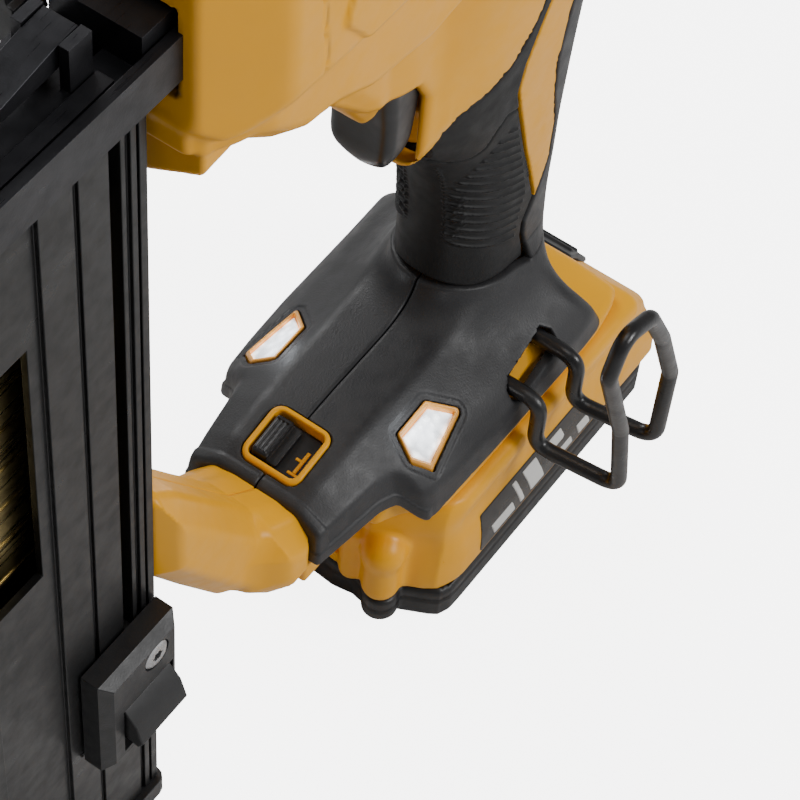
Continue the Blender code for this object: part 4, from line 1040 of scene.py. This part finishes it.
def mode_mark(pos):
    nail = np.minimum.reduce([polygon(pos[0], pos[1], bar) for bar in NAIL_MARK])
    return meet(skin(cover_field(pos), 2.9, -2.35), nail)


def mode_knob(pos):
    x, y, z = pos
    outer = cover_field(pos)
    knob = meet(skin(outer, 2.1, 0.2), prism(pos, "Z", MODE_KNOB, 60, 95, 0.0, 0.9), 0.8)
    knob = cut(knob, meet(-(outer + 1.2), y - 1.9))
    # three finger grooves
    for k in range(3):
        groove = np.sqrt((y - (3.2 + 1.3 * k)) ** 2 + (outer - 0.1) ** 2) - 0.42
        knob = cut(knob, extrude(groove, x, -79.6, -70.2), 0.3)
    return knob


solid("trigger_blade", BLACK, [(trigger, (-56, -10, 160), (-28, 10, 216), 0.6)],
      "trigger", "trigger")
for side, tag in SIDES:
    low_y, high_y = span(side, 14, 32)
    region = ((-60, low_y, 62), (-30, high_y, 82), 0.45)
    solid(f"lamp_bezel_{tag}", AMBER, [(lamp_bezel(side), *region)],
          "tool", f"led_bezel_{tag}")
    solid(f"lamp_lens_{tag}", LENS, [(lamp_lens(side), *region)],
          "tool", f"led_lens_{tag}")

solid("mode_ring", YELLOW, [(mode_ring, (-87, -12, 66), (-63, 12, 82), 0.4)],
      "tool", "mode_bezel")
solid("mode_floor", BLACK, [(mode_floor, (-87, -12, 66), (-63, 12, 82), 0.6)])
solid("mode_mark", YELLOW, [(mode_mark, (-82, -9, 68), (-70, -2, 80), 0.25)])
solid("mode_knob", BLACK, [(mode_knob, (-83, -3, 68), (-67, 9, 82), 0.35)],
      "mode_slider", "mode_slider")

# ======================================================================================
# Battery pack
# ======================================================================================
PACK_SIDE = [(-90, 12), (-90, 50.2), (30.0, 50.2), (39.0, 48.6), (47.0, 40.0), (52.6, 25.0),
             (53.6, 12)]  # (x, z)
# Front face of the pack in plan: (distance from the middle, x).
FRONT_PLAN = [(0.0, -60.0), (7.0, -60.6), (13.0, -59.6), (17.5, -60.2), (22.5, -57.6),
              (30.0, -54.0), (34.0, -51.6), (37.5, -46.0)]
# Plan of the tray: (x, distance from the middle).
TRAY_PLAN = [(-60.0, 0.0), (-60.6, 7.0), (-59.6, 13.0), (-60.4, 17.5), (-57.6, 22.5),
             (-52.4, 33.0), (-50.8, 35.4), (-47.4, 36.8), (-43.0, 37.0), (45.0, 37.0),
             (51.4, 34.4), (54.0, 28.0), (54.0, -6.0), (-60.0, -6.0)]
CAVITY_X = (-49.6, 48.6)
LABEL = [(-36, 17), (-36, 33), (14, 33), (20, 17)]
# Bars on the label: x from, x to, z from, z to.
BARS = [(-32, -22, 19.0, 24.0), (-19.5, -17.5, 19.0, 31.0), (-14.5, -8.0, 19.0, 31.0),
        (-5.0, 4.0, 26.0, 31.0), (-3.0, 6.0, 19.0, 22.5), (9.0, 14.5, 19.0, 24.0)]
BUTTON = [(38.8, 36.6), (38.8, 48.6), (40.4, 48.6), (46.0, 43.6), (50.4, 37.4), (50.4, 36.6)]


def pack_field(pos):
    """Outside of the yellow part of the pack."""
    x, y, z = pos
    far = np.abs(y)
    pack = meet(polygon(x, z, PACK_SIDE, 4.0), far - curve(PACK_HALF, z, 1.2), 5.5)
    plan = np.interp(far, [p[0] for p in FRONT_PLAN], [p[1] for p in FRONT_PLAN]).astype(f32)
    hollow = 1.8 * bump_at(z - 34, 9) * bump_at(far - 31, 5.5)
    lean = 2.6 * step(38, 51, z)
    front = (plan + hollow + lean) - x
    pack = meet(pack, front * 0.93, 4.0)
    pack = meet(pack, 12.0 - z, 0.5)
    # two pairs of rounded upright ribs on the front face
    mirrored = (x, far, z)
    pack = join(pack, capsule(mirrored, (-59.6, 21.6, 17.0), (-59.2, 21.6, 31.0), 5.2), 3.2)
    pack = join(pack, ball(mirrored, (-59.6, 21.6, 32.0), 5.9), 2.4)
    return join(pack, capsule(mirrored, (-59.8, 12.4, 16.0), (-59.0, 12.4, 33.0), 3.5), 2.2)


def pack_shell(pos):
    x, y, z = pos
    outer = pack_field(pos)
    shell = cut(outer, meet(box(pos, CAVITY_X, (-35.4, 35.4), (5, 46.9), 2.0), outer + 1.7))
    shell = meet(shell, 13.15 - z)
    # notch for the button at the rear, opening in the top, pocket in the front face
    shell = cut(shell, meet(meet(38.2 - x, np.abs(y) - 13), 33 - z))
    shell = cut(shell, box(pos, (-70, 8), (-12, 12), (46.6, 60), 0.4))
    shell = cut(shell, box(pos, (-70, -57.6), (-8.6, 8.6), (18.5, 36), 1.0))
    # shallow groove above the tray
    return cut(shell, np.abs(z - 13.2) - 0.3 + 8 * step(-0.35, -0.8, outer), 0.2)


def pack_tray(pos):
    x, y, z = pos
    far = np.abs(y)
    plan = polygon(x, far, TRAY_PLAN)
    tray = extrude(plan + 0.2, z, 0.2, 12.9, 2.2)
    foot = cylinder((x, far, z), "Z", (-59.0, 21.6), 5.0, 3.6, 12.9, 1.4)
    tray = join(tray, foot, 2.0)
    # groove around the sides, and a recess in the underside
    tray = cut(tray, meet(np.abs(z - 8.4) - 0.35, -(tray + 0.5)))
    tray = cut(tray, box(pos, (-44, 44), (-20, 20), (-2, 0.9), 0.4))
    return cut(tray, meet(box(pos, CAVITY_X, (-35.0, 35.0), (2.8, 20), 2.0), plan + 1.9))


def flank_layer(pos, side, above):
    """Thin layer over one flank of the pack."""
    far = side * pos[1]
    return meet(skin(pack_field(pos), 0.6, above), meet(30 - far, far - 40))


def pack_label(side):
    def field(pos):
        return meet(flank_layer(pos, side, 0.3), polygon(pos[0], pos[2], LABEL, 1.0), 0.3)

    return field


def pack_marks(side):
    """Plain slanted bars, standing 0.25 mm proud of the label."""
    def field(pos):
        x, y, z = pos
        slanted = x + (z - 25) * 0.35
        bars = np.minimum.reduce([polygon(slanted, z, rectangle(*bar)) for bar in BARS])
        return meet(flank_layer(pos, side, 0.55), bars, 0.2)

    return field


def release_button(pos):
    x, y, z = pos
    button = prism(pos, "Y", BUTTON, -12.5, 12.5, 0.9, 0.8)
    # two ridges across the sloping face
    above = half_space(pos, (0.70, 0, 0.71), (46.0, 0, 43.4))
    along = (x - 46) * 0.71 - (z - 43.4) * 0.70
    for place in (-2.6, 1.6):
        ridge = np.sqrt((above + 0.3) ** 2 + (along - place) ** 2) - 1.0
        button = join(button, extrude(ridge, y, -10.5, 10.5, 0.4), 0.6)
    return button


solid("pack_shell", YELLOW, [(pack_shell, (-70, -39.5, 12.4), (56, 39.5, 52), 1.0)],
      "battery", "pack_top")
solid("pack_tray", SATIN_BLACK, [(pack_tray, (-68, -39.5, -0.6), (56, 39.5, 14.6), 0.95)],
      "battery", "pack_base")
for side, tag in SIDES:
    low_y, high_y = span(side, 30, 40)
    parts = [(pack_label(side), (-38, low_y, 15), (22, high_y, 35), 0.6)]
    solid(f"pack_label_{tag}", LABEL_BLACK, parts, "battery")
    parts = [(pack_marks(side), (-34, low_y, 17.4), (20, high_y, 32.6), 0.5)]
    solid(f"pack_mark_{tag}", LABEL_LIGHT, parts, "battery")
solid("release_button", BLACK, [(release_button, (37, -14, 35), (54, 14, 51), 0.6)],
      "pack_button", "pack_button")

# ======================================================================================
# Wire hook on the left side
# ======================================================================================
HOOK_RADIUS = 2.2
HOOK_FILLET = 5.5
HOOK_SIDES = 28
HOOK_STEP = 1.2
HOOK = [
    (-18, -16, 66.8), (-18, -39.2, 66.8), (-18, -39.2, 48.6), (-15.6, -64, 48.6),
    (-17.6, -64, 60), (-21.6, -64, 81), (-34.6, -64, 117), (-30, -64, 128),
    (-17.5, -64, 123), (-8, -64, 105), (1.9, -64, 80), (1.4, -64, 51.2),
    (-1.8, -40, 51.2), (-1.8, -40, 68.6), (-1.8, -16, 68.6),
]


def rounded_path(path, fillet, spacing):
    """Path with its corners rounded, divided into short steps."""
    points = [Vector(p) for p in path]
    line = [points[0]]
    for before, corner, after in zip(points, points[1:], points[2:]):
        back, ahead = before - corner, after - corner
        reach = fillet / math.tan(back.angle(ahead) / 2)
        reach = min(reach, back.length * 0.49, ahead.length * 0.49)
        start = corner + back.normalized() * reach
        end = corner + ahead.normalized() * reach
        for k in range(13):
            t = k / 12
            line.append((1 - t) ** 2 * start + 2 * t * (1 - t) * corner + t * t * end)
    line.append(points[-1])
    dense = [line[0]]
    for point in line[1:]:
        last = dense[-1]
        gap = (point - last).length
        if gap < 0.05:
            continue
        count = max(1, int(gap / spacing))
        dense += [last + (point - last) * ((k + 1) / count) for k in range(count)]
    return dense


def belt_hook(name):
    path = rounded_path(HOOK, HOOK_FILLET, HOOK_STEP)
    count, sides = len(path), HOOK_SIDES
    tangents = [
        (path[min(i + 1, count - 1)] - path[max(i - 1, 0)]).normalized() for i in range(count)
    ]
    across = tangents[0].orthogonal().normalized()
    points = []
    for centre, tangent in zip(path, tangents):
        across = (across - tangent * across.dot(tangent)).normalized()
        up = tangent.cross(across)
        for k in range(sides):
            angle = 2 * math.pi * k / sides
            spoke = (across * math.cos(angle) + up * math.sin(angle)) * HOOK_RADIUS
            points.append(tuple((centre + spoke) * MM))
    faces = []
    for i in range(count - 1):
        ring, following = i * sides, (i + 1) * sides
        for k in range(sides):
            turn = (k + 1) % sides
            faces.append((ring + k, ring + turn, following + turn, following + k))
    faces.append(tuple(range(sides - 1, -1, -1)))
    faces.append(tuple(range((count - 1) * sides, count * sides)))
    mesh = bpy.data.meshes.new(name)
    mesh.from_pydata(points, [], faces)
    smooth_faces(mesh)
    mesh.update()
    mesh.materials.append(WIRE)
    put(name, mesh, "belt_hook", "belt_hook")


belt_hook("belt_hook_wire")

# ======================================================================================
# Parts that keep their shape: surface, and width of the softened edges in mm
# ======================================================================================
FINISH = {
    "rear_cap": (BLACK, 1.2), "nose_block": (OXIDE, 0.6), "jam_door": (OXIDE, 0.5),
    "jam_latch": (OXIDE, 0.4), "contact_trip": (OXIDE, 0.4), "no_mar_tip": (RUBBER, 0.8),
    "depth_wheel": (BLACK, 0.4), "drive_frame": (CAST, 0.6), "driver": (STEEL_X, 0.3),
    "bumper": (RUBBER, 0.6), "return_rail_left": (STEEL_X, 0.2),
    "return_rail_right": (STEEL_X, 0.2), "flywheel_bearing_left": (STEEL_Y, 0.3),
    "flywheel_bearing_right": (STEEL_Y, 0.3), "flywheel": (STEEL_Y, 0.4),
    "motor_stator": (COPPER, 0.3), "pinch_arm": (OXIDE, 0.4), "pinch_roller": (STEEL_Y, 0.3),
    "solenoid_body": (OXIDE, 0.5), "solenoid_plunger": (STEEL_X, 0.3),
    "trigger_switch": (BLACK, 0.4), "lock_off_button": (BLACK, 0.8),
    "control_board": (BOARD, 0.15), "terminal_block": (BLACK, 0.3),
    "magazine_channel": (ANODISED, 0.35), "magazine_rail": (STEEL_Z, 0.25),
    "magazine_end_cap": (SATIN_BLACK, 0.8), "pusher": (SATIN_BLACK, 0.8),
    "pusher_screw": (STEEL_Y, 0.3), "pusher_latch": (SATIN_BLACK, 0.6),
    "nail_strip": (BRASS, 0.05), "stall_lever": (BLACK, 0.5),
    **{f"cell_{k}": (CELL, 0.6) for k in range(1, 6)},
}
# Springs: the moving body, the axis, and the place of the fixed end in metres.
SPRINGS = {
    "trip_spring": ("contact", "X", -0.105),
    "return_spring_left": ("driver", "X", -0.0985),
    "return_spring_right": ("driver", "X", -0.0985),
    "trigger_spring": ("trigger", "X", -0.013),
    "pusher_spring": ("pusher", "Z", 0.0182),
}


def finish_part(name, material, width):
    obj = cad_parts[name]
    obj.data.materials.clear()
    obj.data.materials.append(material)
    weld = obj.modifiers.new("weld", "WELD")
    weld.merge_threshold = 0.00002
    bevel = obj.modifiers.new("soft_edges", "BEVEL")
    bevel.width = width * MM
    bevel.segments = 3
    bevel.limit_method = "ANGLE"
    bevel.angle_limit = math.radians(38)
    bevel.harden_normals = False
    smooth = obj.modifiers.new("flats", "WEIGHTED_NORMAL")
    smooth.keep_sharp = False
    for face in obj.data.polygons:
        face.use_smooth = True


def spring(name, mover, axis, fixed):
    """A copy of a spring in the spring material, shown in place of the hidden part."""
    low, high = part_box(name)
    k = "XYZ".index(axis)
    still = [(p + q) / 2 for p, q in zip(low, high)]
    moving = list(still)
    still[k], moving[k] = sorted((high[k], low[k]), key=lambda end: abs(end - fixed))
    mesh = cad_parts[name].data.copy()
    mesh.name = name + "_wire"
    mesh.materials.clear()
    mesh.materials.append(SPRING)
    smooth_faces(mesh)
    coil = link(name + "_wire", mesh)
    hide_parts(name)
    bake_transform(coil)


for name, (material, width) in FINISH.items():
    finish_part(name, material, width)
for name, (mover, axis, fixed) in SPRINGS.items():
    spring(name, mover, axis, fixed)

# ======================================================================================
# Floor, light and camera, in metres
# ======================================================================================
BACKDROP = 5.5  # brightness of floor and world as the camera sees them
WORLD_LIGHT = 0.22  # brightness of the world as light
FLOOR_HALF = 6
FLOOR_GAP = 0.0005
LIGHT_AIM = (-0.03, 0.0, 0.10)
# Area lights: name, place, size, power.
LIGHTS = [
    ("key_light", (0.30, -1.15, 0.85), (0.55, 0.45), 12.5),
    ("rim_light", (0.45, 0.95, 0.85), (0.8, 0.5), 9),
    ("top_light", (-0.10, -0.10, 1.40), (0.7, 0.7), 3.5),
]
# The camera's axes (right, up, backwards) and place.
CAMERA_AXES = (
    Vector((0.57801824, -0.81397647, 0.05776863)),
    Vector((0.64394686, 0.49846872, 0.5803976)),
    Vector((-0.50122585, -0.29828047, 0.81228161)),
)
CAMERA_PLACE = Vector((-0.42353364844, -0.23871891514, 0.68957409818))


def camera_ray(tree):
    return add(tree, "ShaderNodeLightPath").outputs["Is Camera Ray"]


def floor():
    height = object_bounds()[0][2] - FLOOR_GAP
    material, tree, shader = graph("plain_floor")
    glow = combine(tree, "MULTIPLY", camera_ray(tree), BACKDROP)
    cloud = noise(tree, position(tree), scale=900.0, detail=2.0)
    feed(tree, shader, {
        "Base Color": (0.80, 0.80, 0.80, 1),
        "Emission Color": (1, 1, 1, 1),
        "Emission Strength": glow,
        "Roughness": remap(tree, cloud, span=(0.3, 0.7), to=(0.60, 0.70)),
    })
    mesh = bpy.data.meshes.new("floor")
    corners = rectangle(-FLOOR_HALF, FLOOR_HALF, -FLOOR_HALF, FLOOR_HALF)
    mesh.from_pydata([(x, y, 0) for x, y in corners], [], [(0, 1, 2, 3)])
    mesh.materials.append(material)
    obj = bpy.data.objects.new("floor", mesh)
    obj.location.z = height
    bpy.context.scene.collection.objects.link(obj)
    obj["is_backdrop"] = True


def area_light(name, place, size, power):
    lamp = bpy.data.lights.new(name, "AREA")
    lamp.shape = "RECTANGLE"
    lamp.size, lamp.size_y = size
    lamp.energy = power
    obj = link(name, lamp)
    obj.location = place
    aim = Vector(LIGHT_AIM) - Vector(place)
    obj.rotation_euler = aim.to_track_quat("-Z", "Y").to_euler()


def lamp_glow(side, tag):
    """Small light over each lamp of the foot."""
    lamp = bpy.data.lights.new(f"lamp_glow_{tag}", "POINT")
    lamp.energy = 0.0035
    lamp.color = (0.90, 0.95, 1.0)
    lamp.shadow_soft_size = 0.003
    link(f"lamp_glow_{tag}", lamp).location = (-0.0475, 0.0262 * side, 0.0795)


def world_light():
    world = bpy.context.scene.world or bpy.data.worlds.new("studio")
    bpy.context.scene.world = world
    world.use_nodes = True
    tree = world.node_tree
    back = tree.nodes.get("Background") or tree.nodes.new("ShaderNodeBackground")
    level = remap(tree, camera_ray(tree), span=(0.0, 1.0), to=(WORLD_LIGHT, BACKDROP))
    feed(tree, back, {0: (1.0, 1.0, 1.0, 1), 1: level})


def camera():
    data = bpy.data.cameras.new("camera")
    data.type = "PERSP"
    data.lens = 135.0
    data.sensor_width = 36.0
    data.clip_start = 0.01
    obj = bpy.data.objects.new("camera", data)
    pose = Matrix(CAMERA_AXES).transposed().to_4x4()
    pose.translation = CAMERA_PLACE
    obj.matrix_world = pose
    bpy.context.scene.collection.objects.link(obj)
    bpy.context.scene.camera = obj


floor()
for light in LIGHTS:
    area_light(*light)
for side, tag in SIDES:
    lamp_glow(side, tag)
world_light()
camera()
